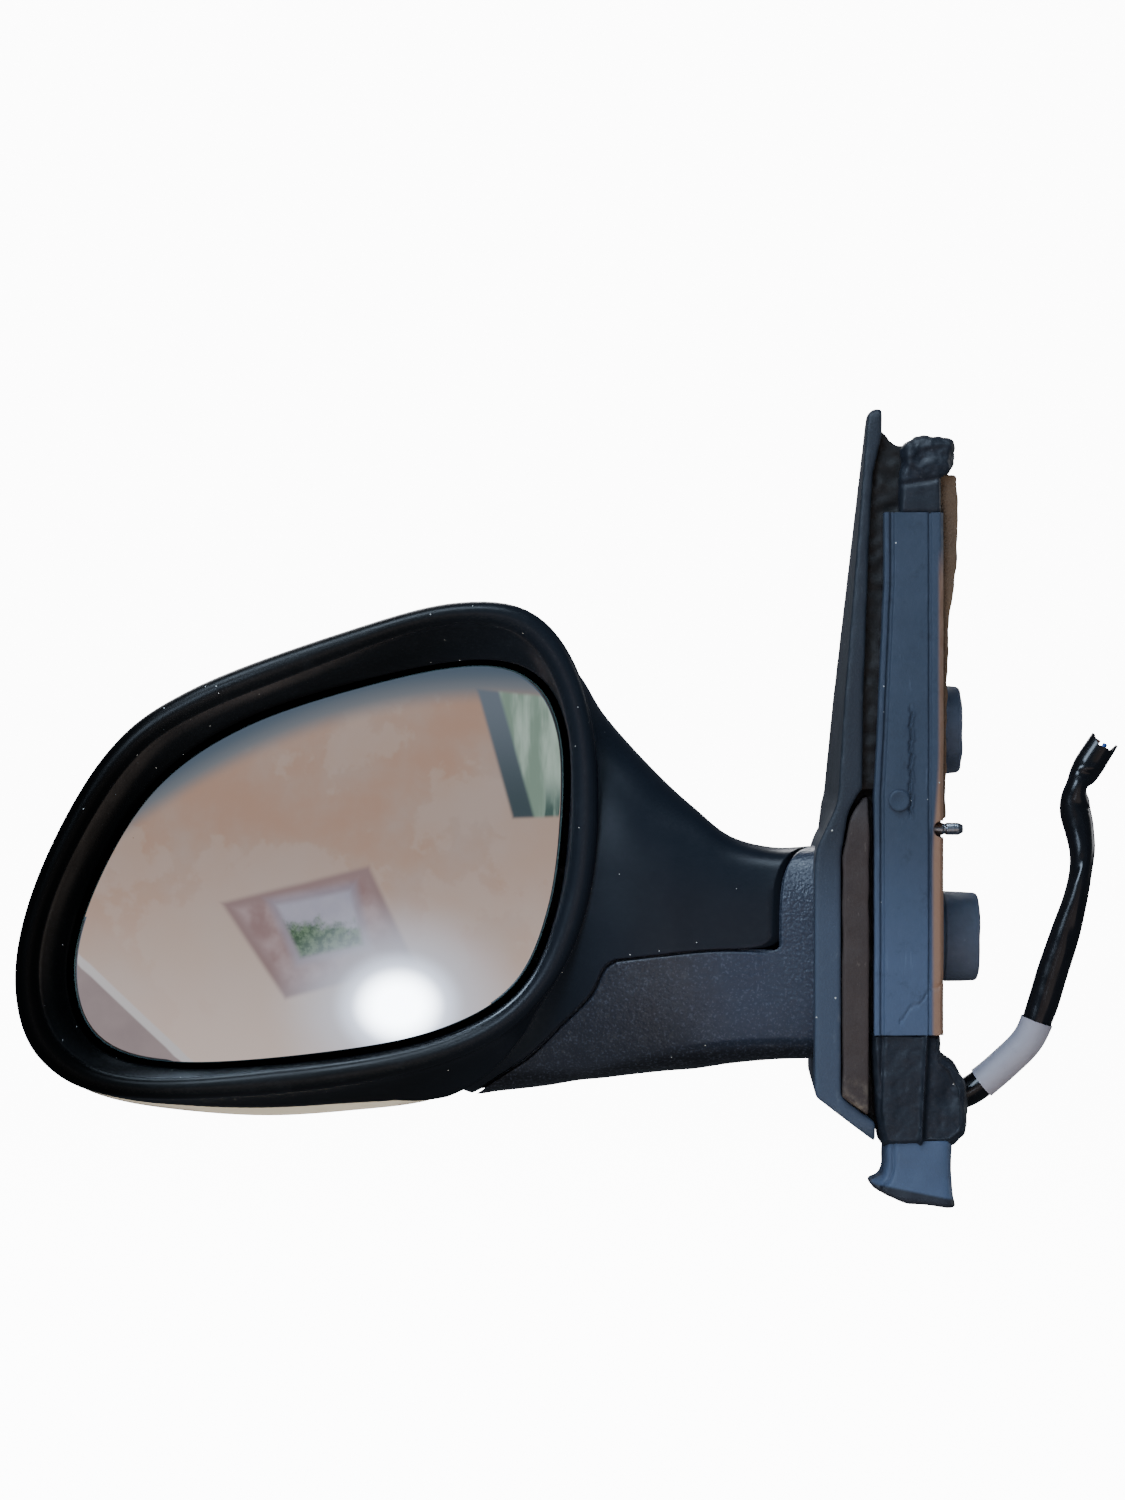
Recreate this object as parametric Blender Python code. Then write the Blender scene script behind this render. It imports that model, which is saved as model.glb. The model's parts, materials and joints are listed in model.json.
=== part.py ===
"""Left-hand car door mirror, power adjusted and folded by hand, as an assembly of separate pieces.

Frame: +X points into the door, +Y to the front of the car, +Z up. The origin lies on the flat door-side
face of the base bracket, halfway between its two fixing bosses. The mirror head reaches out along -X and
its glass faces -Y. Sizes below are in millimetres; mesh_object turns them into metres.
"""

import math

import bmesh
import bpy
import numpy as np
from mathutils import Matrix, Vector

MM = 0.001
GAP = 0.35  # between pieces that touch
FLAT_ANGLE = 1.5  # faces closer than this to one plane count as flat, in degrees

# --- Driving dimensions -------------------------------------------------------------------------

GLASS_CENTRE = (-211.0, -10.5)  # x, z
GLASS_OUTLINE = [
    (-295, -46), (-286, -15), (-266, 16), (-235, 37), (-189, 52), (-155, 57.5), (-137, 51.5), (-128.5, 35),
    (-127.5, 8), (-132, -26), (-144, -52), (-169, -67), (-208, -75), (-260, -78.5), (-287, -70),
]  # fmt: skip
RIM_OUTLINE = [
    (-313, -50), (-305, -14), (-282, 27), (-253, 49), (-200, 69), (-163, 78.5), (-137, 74.5), (-121, 52),
    (-115.5, 15), (-119, -24), (-133, -54), (-160, -75), (-210, -87), (-275, -89.5), (-304, -77),
]  # fmt: skip
GLASS_EDGE_Y = -6.0  # front of the glass at its edge
GLASS_SAG = 2.6  # how far the convex glass bulges at its middle
GLASS_THICK = 2.0
THROAT_GAP = 2.5  # between the glass and the housing around it
CREST_Y = -24.0  # mean height of the rim's crest
CREST_LEAN = 6.0  # the hood is deeper at its upper outer corner
CAP_EDGE_Y = 0.0
BACK_Y = 68.0
WALL = 2.5

PIVOT = (-70.0, 3.0)  # x, y of the upright fold axis
SEAM_RADIUS = 26.0  # the arm's end is a cylinder round the fold axis
SEAM_GAP = 0.7
FOOT_PROFILE = [  # radius and height of the turned joint face between foot and head
    (15, -39), (43.5, -43.6), (46.5, -46.5), (50, -56), (58, -66), (68, -77), (78, -84), (92, -93),
]  # fmt: skip
ARM_STATIONS = [  # x, top z, bottom z, rear y, front y, squareness of the section
    (-40, -4.5, -77, -21, 27, 3.6), (-55, -5, -77.5, -19.5, 25.5, 3.4), (-70, -1, -79, -19, 25, 3.0),
    (-82, 8.5, -81, -19, 26, 2.8), (-92, 17.5, -82, -19, 29, 2.7), (-104, 30, -83.5, -18, 34, 2.6),
    (-114, 42, -85, -16, 39, 2.5), (-122, 55, -86, -14, 44, 2.4), (-134, 66, -88.3, -10, 48, 2.3),
    (-150, 64, -90.3, -6, 49, 2.2), (-158, 60, -91.2, -3, 48, 2.2), (-166, 52, -88.5, 3, 46, 2.2),
]  # fmt: skip
PASSAGE_STATIONS = [  # the hollow inside the arm
    (-43, -9, -73, -16, 22, 3.4), (-56, -8.5, -73.5, -15.5, 21.5, 3.2), (-70, -5, -75, -15, 21, 2.8),
    (-84, 5, -77, -14, 23, 2.7), (-100, 18, -78, -8, 29, 2.6), (-114, 26, -60, 6, 33, 2.5),
    (-140, 26, -48, 12, 36, 2.4),
]  # fmt: skip

BELLY = 9.0  # how far the painted back hangs below the rim
CHIN = 8.0  # and further still where it runs into the arm
CHIN_SPREAD = math.radians(20)

SWIVEL_Y = 5.0  # plane of the glass's two tilt axes and of both rod balls
SWIVEL = (GLASS_CENTRE[0], SWIVEL_Y, GLASS_CENTRE[1])
ROD_ARM = 28.0  # from the glass's tilt axis to its rod
CASE_HALF = 34.0
CASE_WALL = 2.0
CASE_FRONT_Y = 13.0
CASE_SPLIT_Y = 27.0
CASE_BACK_Y = 44.6
MODULE = 0.8
PINION_TEETH = 10
WHEEL_TEETH = 20
PINION_RADIUS = MODULE * PINION_TEETH / 2
WHEEL_RADIUS = MODULE * WHEEL_TEETH / 2
WORM_RADIUS = 2.6  # pitch radius
SHAFT_Y = 24.0  # both gear shafts
WORM_Y = SHAFT_Y + WHEEL_RADIUS + WORM_RADIUS
WHEEL_LOW, WHEEL_HIGH = 14.0, 19.0  # the worm wheel's place along its shaft
MOTOR_RADIUS = 7.0
CASE_SCREWS = [(-27, -27), (27, 27), (27, -27)]  # x, z from the swivel
FRAME_SCREWS = [(-41, 10), (41, 22)]

TUBE_BORE, TUBE_RADIUS = 6.0, 7.5  # fold pivot's hollow shaft
SEAT_Z = -46.5  # top of the bracket's seat under the fold pivot
HUB_RADIUS = 16.5

SAIL_OUTLINE = [  # y, z and corner radius
    (-38, -106, 10), (-38, 143.5, 4), (-29, 143.5, 4), (80, -42, 22), (78, -106, 16),
]  # fmt: skip
BOSS_Z = 35.5  # fixing bosses above and below the origin
PAD_HALF = 18.0  # the pad that rests on the door ends short of the bushes
PAD_STEP = 0.6  # and stands this far in front of the bosses
BUSHES = {"upper": (BOSS_Z, 15.2, 8.8), "lower": (-BOSS_Z, 15.5, 14.9)}  # z, radius, reach into the door
SEAL_TOP_Z, SEAL_BOTTOM_Z = 108.0, -65.5
STUD = (-33.0, 2.0)  # y, z
SLEEVE_DIAMETER = 10.0
SLEEVE_WALL = 1.2
WIRE_DIAMETER = 1.8
WIRE_CIRCLE = 1.75  # the wires lie round this circle
SLEEVE_ROUTE = [  # the loom's sleeve from inside the boot to its open end
    (3.0, -22.0, -89.5), (8.0, -22.0, -87.8), (13.0, -22.4, -85.0), (21.7, -24.0, -77.5),
    (29.6, -26.0, -69.0), (34.0, -27.0, -58.5), (37.6, -27.6, -46.5), (42.0, -28.0, -33.0),
    (46.0, -27.5, -19.0), (47.8, -26.4, -7.0), (47.0, -25.2, 1.5), (45.6, -24.5, 9.0),
    (46.4, -24.2, 16.0), (49.8, -24.0, 22.5), (55.2, -24.0, 31.0),
]  # fmt: skip
LABEL_REACH = (12.0, 42.0)  # along the sleeve
HARNESS_DIAMETER = 5.0
BASE_HARNESS = [
    (0.0, -22.0, -89.6), (-10, -22, -86), (-20, -20, -79), (-28, -14, -72.5), (-36, -8, -69),
    (-44, -4, -67.8),
    (-56, 1, -67.6), (-65, 2.8, -67.2), (-69.3, 3, -64), (-70, 3, -57), (-70, 3, -36), (-70, 3, -16.4),
]  # fmt: skip
HEAD_HARNESS = [
    (-70, 3, -15.5), (-70, 3, -13), (-71.2, 3.2, -10), (-76, 4.4, -7), (-84, 7, -4), (-98, 14, 4),
    (-115, 21, 9),
    (-130, 27, 10), (-150, 34, 9), (-161.5, 37, 6),
]  # fmt: skip


# --- Materials ----------------------------------------------------------------------------------


def material(name, colour, roughness, metallic=0.0):
    made = bpy.data.materials.new(name)
    made.use_nodes = True
    shader = made.node_tree.nodes["Principled BSDF"]
    shader.inputs["Base Color"].default_value = (*colour, 1.0)
    shader.inputs["Roughness"].default_value = roughness
    shader.inputs["Metallic"].default_value = metallic
    return made


# --- Shape helpers ------------------------------------------------------------------------------


def mesh_object(name, points, faces, finish=None):
    """An object from points in millimetres; its faces are turned outwards."""
    mesh = bpy.data.meshes.new(name)
    mesh.from_pydata([[c * MM for c in p] for p in points], [], faces)
    shaped = bmesh.new()
    shaped.from_mesh(mesh)
    bmesh.ops.triangulate(shaped, faces=[f for f in shaped.faces if len(f.verts) == 4])
    bmesh.ops.recalc_face_normals(shaped, faces=shaped.faces)
    shaped.to_mesh(mesh)
    shaped.free()
    made = bpy.data.objects.new(name, mesh)
    bpy.context.scene.collection.objects.link(made)
    if finish:
        mesh.materials.append(finish)
    return made


def loft(name, rings, finish=None, ring_of_rings=False):
    """A closed solid through rings of equally many points, capped at both ends or joined end to start."""
    count = len(rings[0])
    points = [p for ring in rings for p in ring]
    faces = []
    spans = len(rings) if ring_of_rings else len(rings) - 1
    for i in range(spans):
        here, there = i * count, (i + 1) % len(rings) * count
        for j in range(count):
            k = (j + 1) % count
            faces.append((here + j, here + k, there + k, there + j))
    if not ring_of_rings:
        faces.append(tuple(range(count)))
        faces.append(tuple((len(rings) - 1) * count + j for j in range(count)))
    return mesh_object(name, points, faces, finish)


def along(axis, a, b, depth):
    """A point whose coordinate on axis is depth and whose other two, in X, Y, Z order, are a and b."""
    point = [a, b]
    point.insert("XYZ".index(axis), depth)
    return point


def prism(name, outline, axis, low, high, finish=None):
    """outline extruded along axis from low to high. An end may be a function of the outline's point."""
    ends = []
    for end in (low, high):
        ends.append([along(axis, a, b, end(a, b) if callable(end) else end) for a, b in outline])
    return loft(name, ends, finish)


def circle(radius, centre=(0, 0), sides=24, turn=0.0):
    angles = [turn + 2 * math.pi * i / sides for i in range(sides)]
    return [(centre[0] + radius * math.cos(t), centre[1] + radius * math.sin(t)) for t in angles]


def cylinder(name, axis, centre, radius, low, high, finish=None, sides=24):
    return prism(name, circle(radius, centre, sides), axis, low, high, finish)


def turned(name, axis, centre, profile, finish=None, sides=24, closed=False):
    """A turned solid: profile is (radius, place along axis). A closed profile makes a ring with a hole."""
    rings = [
        [along(axis, a, b, depth) for a, b in circle(radius, centre, sides)] for radius, depth in profile
    ]
    return loft(name, rings, finish, ring_of_rings=closed)


def washer(name, axis, centre, inner, outer, low, high, finish=None, sides=24):
    profile = [(inner, low), (outer, low), (outer, high), (inner, high)]
    return turned(name, axis, centre, profile, finish, sides, closed=True)


def box(name, low, high, finish=None):
    outline = [(low[0], low[1]), (high[0], low[1]), (high[0], high[1]), (low[0], high[1])]
    return prism(name, outline, "Z", low[2], high[2], finish)


def rounded(corners, steps=4):
    """A polygon whose corners, given as (a, b, radius), are arcs."""
    outline = []
    for i, (a, b, radius) in enumerate(corners):
        here = Vector((a, b))
        before = (Vector(corners[i - 1][:2]) - here).normalized()
        after = (Vector(corners[(i + 1) % len(corners)][:2]) - here).normalized()
        if radius <= 0:
            outline.append((a, b))
            continue
        half = before.angle(after) / 2
        centre = here + (before + after).normalized() * (radius / math.sin(half))
        start = here + before * (radius / math.tan(half)) - centre
        end = here + after * (radius / math.tan(half)) - centre
        sweep = start.angle_signed(end)
        for k in range(steps + 1):
            spoke = start.copy()
            spoke.rotate(Matrix.Rotation(-sweep * k / steps, 2))
            outline.append(tuple(centre + spoke))
    return outline


def spline(points, steps, closed=False):
    """A smooth curve through points of any dimension (Catmull-Rom), with steps samples a span."""
    p = np.array(points, float)
    last = len(p) if closed else len(p) - 1
    samples = []
    for i in range(last):
        if closed:
            a, b, c, d = (p[(i + k) % len(p)] for k in (-1, 0, 1, 2))
        else:
            b, c = p[i], p[i + 1]
            a = p[i - 1] if i else 2 * b - c
            d = p[i + 2] if i + 2 < len(p) else 2 * c - b
        for k in range(steps):
            t = k / steps
            square = (2 * a - 5 * b + 4 * c - d) * t**2
            cube = (3 * b - a - 3 * c + d) * t**3
            samples.append((2 * b + (c - a) * t + square + cube) / 2)
    if not closed:
        samples.append(p[-1])
    return np.array(samples)


def boolean(target, tool, operation="DIFFERENCE"):
    """Applies tool to target and removes it."""
    modifier = target.modifiers.new(operation.lower(), "BOOLEAN")
    modifier.operation = operation
    modifier.object = tool
    graph = bpy.context.evaluated_depsgraph_get()
    result = bpy.data.meshes.new_from_object(target.evaluated_get(graph))
    target.modifiers.remove(modifier)
    target.data = result
    bpy.data.objects.remove(tool)
    return tidy(target)


def tidy(made, merge=0.003):
    """Joins points that lie on each other and triangulates, so that every face is flat."""
    shaped = bmesh.new()
    shaped.from_mesh(made.data)
    bmesh.ops.remove_doubles(shaped, verts=shaped.verts, dist=merge * MM)
    bmesh.ops.dissolve_degenerate(shaped, edges=shaped.edges, dist=merge * MM)
    bmesh.ops.triangulate(shaped, faces=[f for f in shaped.faces if len(f.verts) > 3])
    shaped.to_mesh(made.data)
    shaped.free()
    return made


def resampled(route, step):
    """Even steps along a smooth curve through route."""
    fine = spline(route, 12)
    length = np.concatenate([[0], np.cumsum(np.linalg.norm(np.diff(fine, axis=0), axis=1))])
    places = np.linspace(0, length[-1], max(3, round(length[-1] / step) + 1))
    return np.stack([np.interp(places, length, fine[:, k]) for k in range(3)], axis=1), places


def beside(points, across_by, up_by):
    """A path next to another one, carried along it without twist."""
    ways = np.gradient(points, axis=0)
    ways /= np.linalg.norm(ways, axis=1)[:, None]
    across = np.cross(ways[0], (0.0, 1.0, 0.0))
    moved = []
    for point, way in zip(points, ways):
        across = across - way * across.dot(way)
        across /= np.linalg.norm(across)
        moved.append(point + across * across_by + np.cross(way, across) * up_by)
    return np.array(moved)


def cord(name, points, diameter, finish=None, wall=0.0, roundness=2):
    """A round cord along points: a curve with a bevel. wall makes it a hollow sleeve."""
    curve = bpy.data.curves.new(name, "CURVE")
    curve.dimensions = "3D"
    curve.bevel_depth = diameter / 2 * MM
    curve.bevel_resolution = roundness
    curve.use_fill_caps = wall == 0
    line = curve.splines.new("POLY")
    line.points.add(len(points) - 1)
    for spot, point in zip(line.points, points):
        spot.co = (*[c * MM for c in point], 1.0)
    made = bpy.data.objects.new(name, curve)
    bpy.context.scene.collection.objects.link(made)
    if wall:
        shell = made.modifiers.new("wall", "SOLIDIFY")
        shell.thickness = wall * MM
        shell.offset = -1.0
    if finish:
        curve.materials.append(finish)
    return made


def cord_cutter(name, points, diameter):
    """The space that a cord runs in, as a mesh, because only a mesh cuts."""
    line = cord(name, points, diameter, roundness=4)
    graph = bpy.context.evaluated_depsgraph_get()
    mesh = bpy.data.meshes.new_from_object(line.evaluated_get(graph))
    bpy.data.objects.remove(line)
    cutter = bpy.data.objects.new(name, mesh)
    bpy.context.scene.collection.objects.link(cutter)
    return cutter


def joined(name, pieces, finish):
    """Overlapping solids as one."""
    whole = pieces[0]
    whole.name = name
    for piece in pieces[1:]:
        boolean(whole, piece, "UNION")
    return painted(whole, finish)


def painted(made, finish):
    """The finished piece: faces that lie in one plane are merged first, then it gets its material."""
    shaped = bmesh.new()
    shaped.from_mesh(made.data)
    bmesh.ops.dissolve_limit(
        shaped, angle_limit=math.radians(FLAT_ANGLE), verts=shaped.verts, edges=shaped.edges
    )
    bmesh.ops.triangulate(shaped, faces=[f for f in shaped.faces if len(f.verts) > 3])
    shaped.to_mesh(made.data)
    shaped.free()
    made.data.materials.clear()
    made.data.materials.append(finish)
    return made


def set_origin(made, x, y, z):
    """Moves an object's origin, so that it lies on the axis the object turns about."""
    made.data.transform(Matrix.Translation((-x * MM, -y * MM, -z * MM)))
    made.location = (x * MM, y * MM, z * MM)
    return made


def smooth(made, degrees=35):
    """Shades an object smooth, with its sharper edges kept."""
    if made.type == "MESH":
        made.data.shade_smooth()
        made.data.set_sharp_from_angle(angle=math.radians(degrees))


# --- Head shells --------------------------------------------------------------------------------

HEAD_ANGLES = [2 * math.pi * i / 38 for i in range(38)]


def polar(outline):
    """The outline's distance from the glass's centre, as a function of the angle."""
    fine = spline(outline, 16, closed=True) - np.array(GLASS_CENTRE)
    angles = np.arctan2(fine[:, 1], fine[:, 0]) % (2 * math.pi)
    order = np.argsort(angles)
    radii = np.hypot(fine[:, 0], fine[:, 1])
    return lambda t: float(np.interp(t % (2 * math.pi), angles[order], radii[order], period=2 * math.pi))


glass_radius = polar(GLASS_OUTLINE)
rim_radius = polar(RIM_OUTLINE)


def crest_y(t):
    return CREST_Y - CREST_LEAN * math.cos(t - math.radians(135))


def bulge(t):
    """How much further the back reaches than the rim: it hangs below it, most of all towards the arm."""
    belly = max(0.0, math.cos(t + math.radians(95))) ** 4
    chin = math.exp(-(((t - math.radians(302) + math.pi) % (2 * math.pi) - math.pi) / CHIN_SPREAD) ** 2)
    return BELLY * belly + CHIN * chin


def head_ring(radius, depth):
    """A ring of the head: radius and depth are functions of the angle."""
    ring = []
    for t in HEAD_ANGLES:
        r = radius(t)
        ring.append((GLASS_CENTRE[0] + r * math.cos(t), depth(t), GLASS_CENTRE[1] + r * math.sin(t)))
    return ring


def fixed(value):
    return lambda t: value


def dome_rings(inset, low_y, turns=(6, 28, 48, 66, 80)):
    """Rings from the cap's edge back over the dome, inset from the outer skin."""
    rings = []
    for turn in turns:
        a = math.radians(turn)
        share = math.cos(a) ** 0.62
        depth = low_y + (BACK_Y - inset - low_y) * math.sin(a) ** 1.15
        rings.append(
            head_ring(lambda t, s=share: (rim_radius(t) + bulge(t) - inset) * s, fixed(depth))
        )
    return rings


def bead_radius(t):
    return min(4.6, (rim_radius(t) - glass_radius(t) - THROAT_GAP - 0.4) / 2)


def rim_rings():
    """The rounded bead of the rim, from its inner side over its crest to its outer side."""
    rings = []
    for turn in (180, 135, 90, 45, 0):
        a = math.radians(turn)
        rings.append(
            head_ring(
                lambda t, a=a: rim_radius(t) - bead_radius(t) * (1 - math.cos(a)),
                lambda t, a=a: crest_y(t) + bead_radius(t) * (1 - math.sin(a)),
            )
        )
    return rings


def housing_bowl():
    """The bowl with its rim, tunnel and throat, open at the front."""

    def throat(t):
        return glass_radius(t) + THROAT_GAP

    def tunnel(t):
        return throat(t) + 0.55 * (rim_radius(t) - 2 * bead_radius(t) - throat(t))

    def skin(t):
        return rim_radius(t) - 3.0

    inside = dome_rings(WALL * 2, CAP_EDGE_Y + 1.0)[::-1]
    web = [
        head_ring(lambda t: rim_radius(t) - 5.5, fixed(CAP_EDGE_Y + 1.5)),
        head_ring(lambda t: rim_radius(t) - 5.5, fixed(CAP_EDGE_Y - 3.5)),
        head_ring(skin, fixed(CAP_EDGE_Y - 6.0)),
        head_ring(skin, lambda t: crest_y(t) + 8.0),
        head_ring(lambda t: tunnel(t) + 2.6, lambda t: -4.5 + 0.42 * (crest_y(t) + 11.0)),
        head_ring(lambda t: throat(t) + 2.4, fixed(-4.5)),
        head_ring(lambda t: throat(t) + 2.4, fixed(0.5)),
        head_ring(throat, fixed(0.5)),
        head_ring(throat, fixed(-7.0)),
        head_ring(tunnel, lambda t: -7.0 + 0.42 * (crest_y(t) + 11.0)),
    ]
    side = [
        head_ring(rim_radius, fixed(-8.0)),
        head_ring(lambda t: rim_radius(t) + 0.4 * bulge(t), fixed(CAP_EDGE_Y - 0.6)),
        head_ring(lambda t: rim_radius(t) - WALL - 0.5, fixed(CAP_EDGE_Y - 0.5)),
    ]
    outside = dome_rings(WALL + 0.5, CAP_EDGE_Y + 1.0)
    return loft("head_housing", inside + web + rim_rings() + side + outside)


def cavity(grow):
    """The space inside the bowl, grown a little, as a cutter for the arm."""
    rings = dome_rings(WALL * 2 - grow, CAP_EDGE_Y + 1.0)[::-1]
    rings.append(head_ring(lambda t: rim_radius(t) - 5.5 + grow, fixed(CAP_EDGE_Y - 3.5)))
    rings.append(head_ring(lambda t: glass_radius(t) + THROAT_GAP + grow, fixed(-9.0)))
    rings.append(head_ring(lambda t: rim_radius(t) - 2 * bead_radius(t) + grow, fixed(-60.0)))
    return loft("cavity", rings)


def arm_section(x, top, bottom, rear, front, squareness, grow=0.0, count=22):
    ring = []
    for i in range(count):
        a = 2 * math.pi * (i + 0.5) / count
        c, s = math.cos(a), math.sin(a)
        y = (rear + front) / 2 + ((front - rear) / 2 + grow) * math.copysign(abs(c) ** (2 / squareness), c)
        z = (top + bottom) / 2 + ((top - bottom) / 2 + grow) * math.copysign(abs(s) ** (2 / squareness), s)
        ring.append((x, y, z))
    return ring


def arm_solid(name, stations, grow=0.0):
    rings = [arm_section(*s, grow=grow) for s in stations]
    if grow:
        x, *rest = stations[-1]
        rings.append(arm_section(x - grow, *rest, grow=grow))
    return loft(name, rings)


def foot_zone(name, shift, neck_radius, floor=-100.0):
    """The space that belongs to the foot: under the turned joint face, and beyond the arm's round end."""
    profile = [(0.05, FOOT_PROFILE[0][1] + shift)]
    profile += [(r + shift, z + shift) for r, z in FOOT_PROFILE]
    profile += [(FOOT_PROFILE[-1][0] + shift, floor), (0.05, floor)]
    zone = turned(name, "Z", PIVOT, profile, sides=40)
    neck = box("neck", (PIVOT[0] + 2, -45, FOOT_PROFILE[1][1] - 1.4), (-20, 60, 30))
    boolean(neck, cylinder("seam", "Z", PIVOT, neck_radius, -60, 60, sides=40))
    return boolean(zone, neck, "UNION")


def build_head_housing(finish):
    housing = housing_bowl()
    arm = arm_solid("arm", ARM_STATIONS)
    boolean(arm, cavity(1.0))
    boolean(housing, arm, "UNION")
    passage = arm_solid("passage", PASSAGE_STATIONS)
    boolean(passage, foot_zone("wall_zone", 3.4, SEAM_RADIUS - 3.2))
    boolean(housing, passage)
    boolean(housing, foot_zone("gap_zone", SEAM_GAP, SEAM_RADIUS))
    boolean(housing, cylinder("hub_hole", "Z", PIVOT, 18.0, -60, -30, sides=24))
    for x, z in FRAME_SCREWS:
        place = (SWIVEL[0] + x, SWIVEL[2] + z)
        boolean(housing, cylinder("post", "Y", place, 4.0, 48.4, 59.2, sides=12), "UNION")
        boolean(housing, cylinder("post_bore", "Y", place, 1.85, 40, 57, sides=10))
    return painted(housing, finish)


def build_painted_cap(finish):
    rings = dome_rings(WALL, CAP_EDGE_Y + 1.0)[::-1]
    rings.append(head_ring(lambda t: rim_radius(t) + 0.4 * bulge(t) - WALL, fixed(CAP_EDGE_Y)))
    rings.append(head_ring(lambda t: rim_radius(t) + 0.4 * bulge(t), fixed(CAP_EDGE_Y)))
    rings += dome_rings(0.0, CAP_EDGE_Y + 1.0)
    cap = loft("painted_cap", rings)
    boolean(cap, arm_solid("arm_gap", ARM_STATIONS, grow=0.7))
    boolean(cap, foot_zone("cap_zone", SEAM_GAP, SEAM_RADIUS))
    return painted(cap, finish)


def build_foot_shell(finish):
    foot = arm_solid("foot_shell", ARM_STATIONS)
    boolean(foot, foot_zone("foot_keep", 0.0, SEAM_RADIUS + SEAM_GAP), "INTERSECT")
    hollow = arm_solid("hollow", PASSAGE_STATIONS)
    boolean(hollow, foot_zone("hollow_keep", -3.0, SEAM_RADIUS + SEAM_GAP + 3.0), "INTERSECT")
    boolean(foot, hollow)
    boolean(foot, cylinder("ring_hole", "Z", PIVOT, 18.0, -60, -30, sides=24))
    boolean(foot, box("trim", (-44.2, -60, -120), (0, 60, 40)))
    return painted(foot, finish)


# --- Door side ----------------------------------------------------------------------------------


def build_sail_cover(finish):
    profile = [
        (-43, -88), (-43, 0), (-41, 3), (-32.6, 11.5), (-32, 45), (-25.2, 143), (-20, 143),
        (-23, 45), (-23.3, 14),
        (-28.5, 14), (-34.2, 8), (-34.2, -88), (-25.4, -97.4), (-25.4, -105),
    ]  # fmt: skip
    cover = prism("sail_cover", profile, "Y", -60, 90)
    boolean(cover, prism("edge", rounded(SAIL_OUTLINE), "X", -60, -10), "INTERSECT")
    lower = [(-26, -82, 6), (-26, 0, 6), (34, 0, 6), (62, -45, 13), (60, -82, 8)]
    boolean(cover, prism("lower_pocket", rounded(lower, 3), "X", -40.5, -30))
    upper = [(-35, 17), (-35, 131), (-27, 131), (41, 17)]
    upper_pocket = prism("upper_pocket", upper, "X", lambda y, z: -30.2 + 6.8 * (z - 17) / 114, -15)
    boolean(cover, upper_pocket)
    boolean(cover, box("doorway", (-60, -16, -74), (-30, 22, -47)))
    return painted(cover, finish)


def build_base_gasket(finish):
    profile = [(-33.8, -87.8), (-33.8, 7.6), (-28.2, 13.6), (-25, 13.6), (-25, -97)]
    gasket = prism("base_gasket", profile, "Y", -60, 90)
    outer = [(-40, -100, 10), (-40, 16, 9), (40, 16, 6), (77, -42, 20), (74, -100, 14)]
    boolean(gasket, prism("edge", rounded(outer), "X", -60, -10), "INTERSECT")
    inner = [(-28, -84, 6), (-28, 2, 6), (36, 2, 6), (64, -44, 14), (62, -84, 8)]
    boolean(gasket, prism("window", rounded(inner), "X", -60, -10))
    return painted(gasket, finish)


def build_base_bracket(finish):
    plate_outline = [
        (-24, -62, 2), (-24, 44, 4), (8, 44, 8), (54, -36, 14), (54, -80, 10), (-4, -80, 3), (-4, -62, 2),
    ]  # fmt: skip
    pieces = [prism("plate", rounded(plate_outline, 3), "X", -22.4, -17.4)]
    pieces.append(box("spine", (-18, -7, -BOSS_Z), (-PAD_STEP, 7, BOSS_Z)))
    pieces.append(box("pad", (-2, -7, -PAD_HALF), (0, 7, PAD_HALF)))
    for z, _, _ in BUSHES.values():
        pieces.append(cylinder("boss", "X", (0, z), 11.0, -18, -PAD_STEP, sides=20))
    pieces.append(box("seal_step", (-18, -24, -60), (-9, -19, 56)))
    pieces.append(box("seal_flange", (-13, -34, -60), (-9, -19, 100)))
    pieces.append(box("beam", (-62, -9, -64), (-20, 15, -50.5)))
    pieces.append(cylinder("seat", "Z", PIVOT, HUB_RADIUS, -59.4, SEAT_Z, sides=20))
    bracket = joined("base_bracket", pieces, finish)
    boolean(bracket, cylinder("tube_bore", "Z", PIVOT, TUBE_RADIUS + GAP, -70, -40, sides=20))
    boolean(bracket, cylinder("harness_gap", "Z", PIVOT, 10.5, -70, -54.6, sides=20))
    for z, _, _ in BUSHES.values():
        boolean(bracket, cylinder("insert_bore", "X", (0, z), 5.5 + GAP, -30, 5, sides=24))
    boolean(bracket, cylinder("stud_bore", "X", STUD, 2.1 + GAP, -20, 0, sides=16))
    return painted(bracket, finish)


def build_channel_seal(finish):
    profile = [
        (-20, -26), (-20, -37.4), (-18.6, -39.4), (-16, -40), (-12.2, -40), (-11.5, -39.6), (-10.8, -40),
        (-4, -40), (-1.4, -39.4), (0, -37.4), (0, -26), (-3, -26), (-3.6, -36), (-16.4, -36), (-17, -26),
    ]  # fmt: skip
    seal = prism("channel_seal", profile, "Z", SEAL_BOTTOM_Z, SEAL_TOP_Z)
    boolean(seal, box("stud_notch", (-4.4, -45, STUD[1] - 3.6), (2, -29, STUD[1] + 3.6)))
    boolean(seal, cylinder("vent", "Y", (-15.6, 11.5), 3.7, -39.3, -45, sides=20))
    return painted(seal, finish)


def squircle(centre, half, squareness=3.0, count=20):
    """A rounded rectangle's outline."""
    outline = []
    for i in range(count):
        a = 2 * math.pi * (i + 0.5) / count
        c, s = math.cos(a), math.sin(a)
        outline.append(
            (
                centre[0] + half[0] * math.copysign(abs(c) ** (2 / squareness), c),
                centre[1] + half[1] * math.copysign(abs(s) ** (2 / squareness), s),
            )
        )
    return outline


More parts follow.
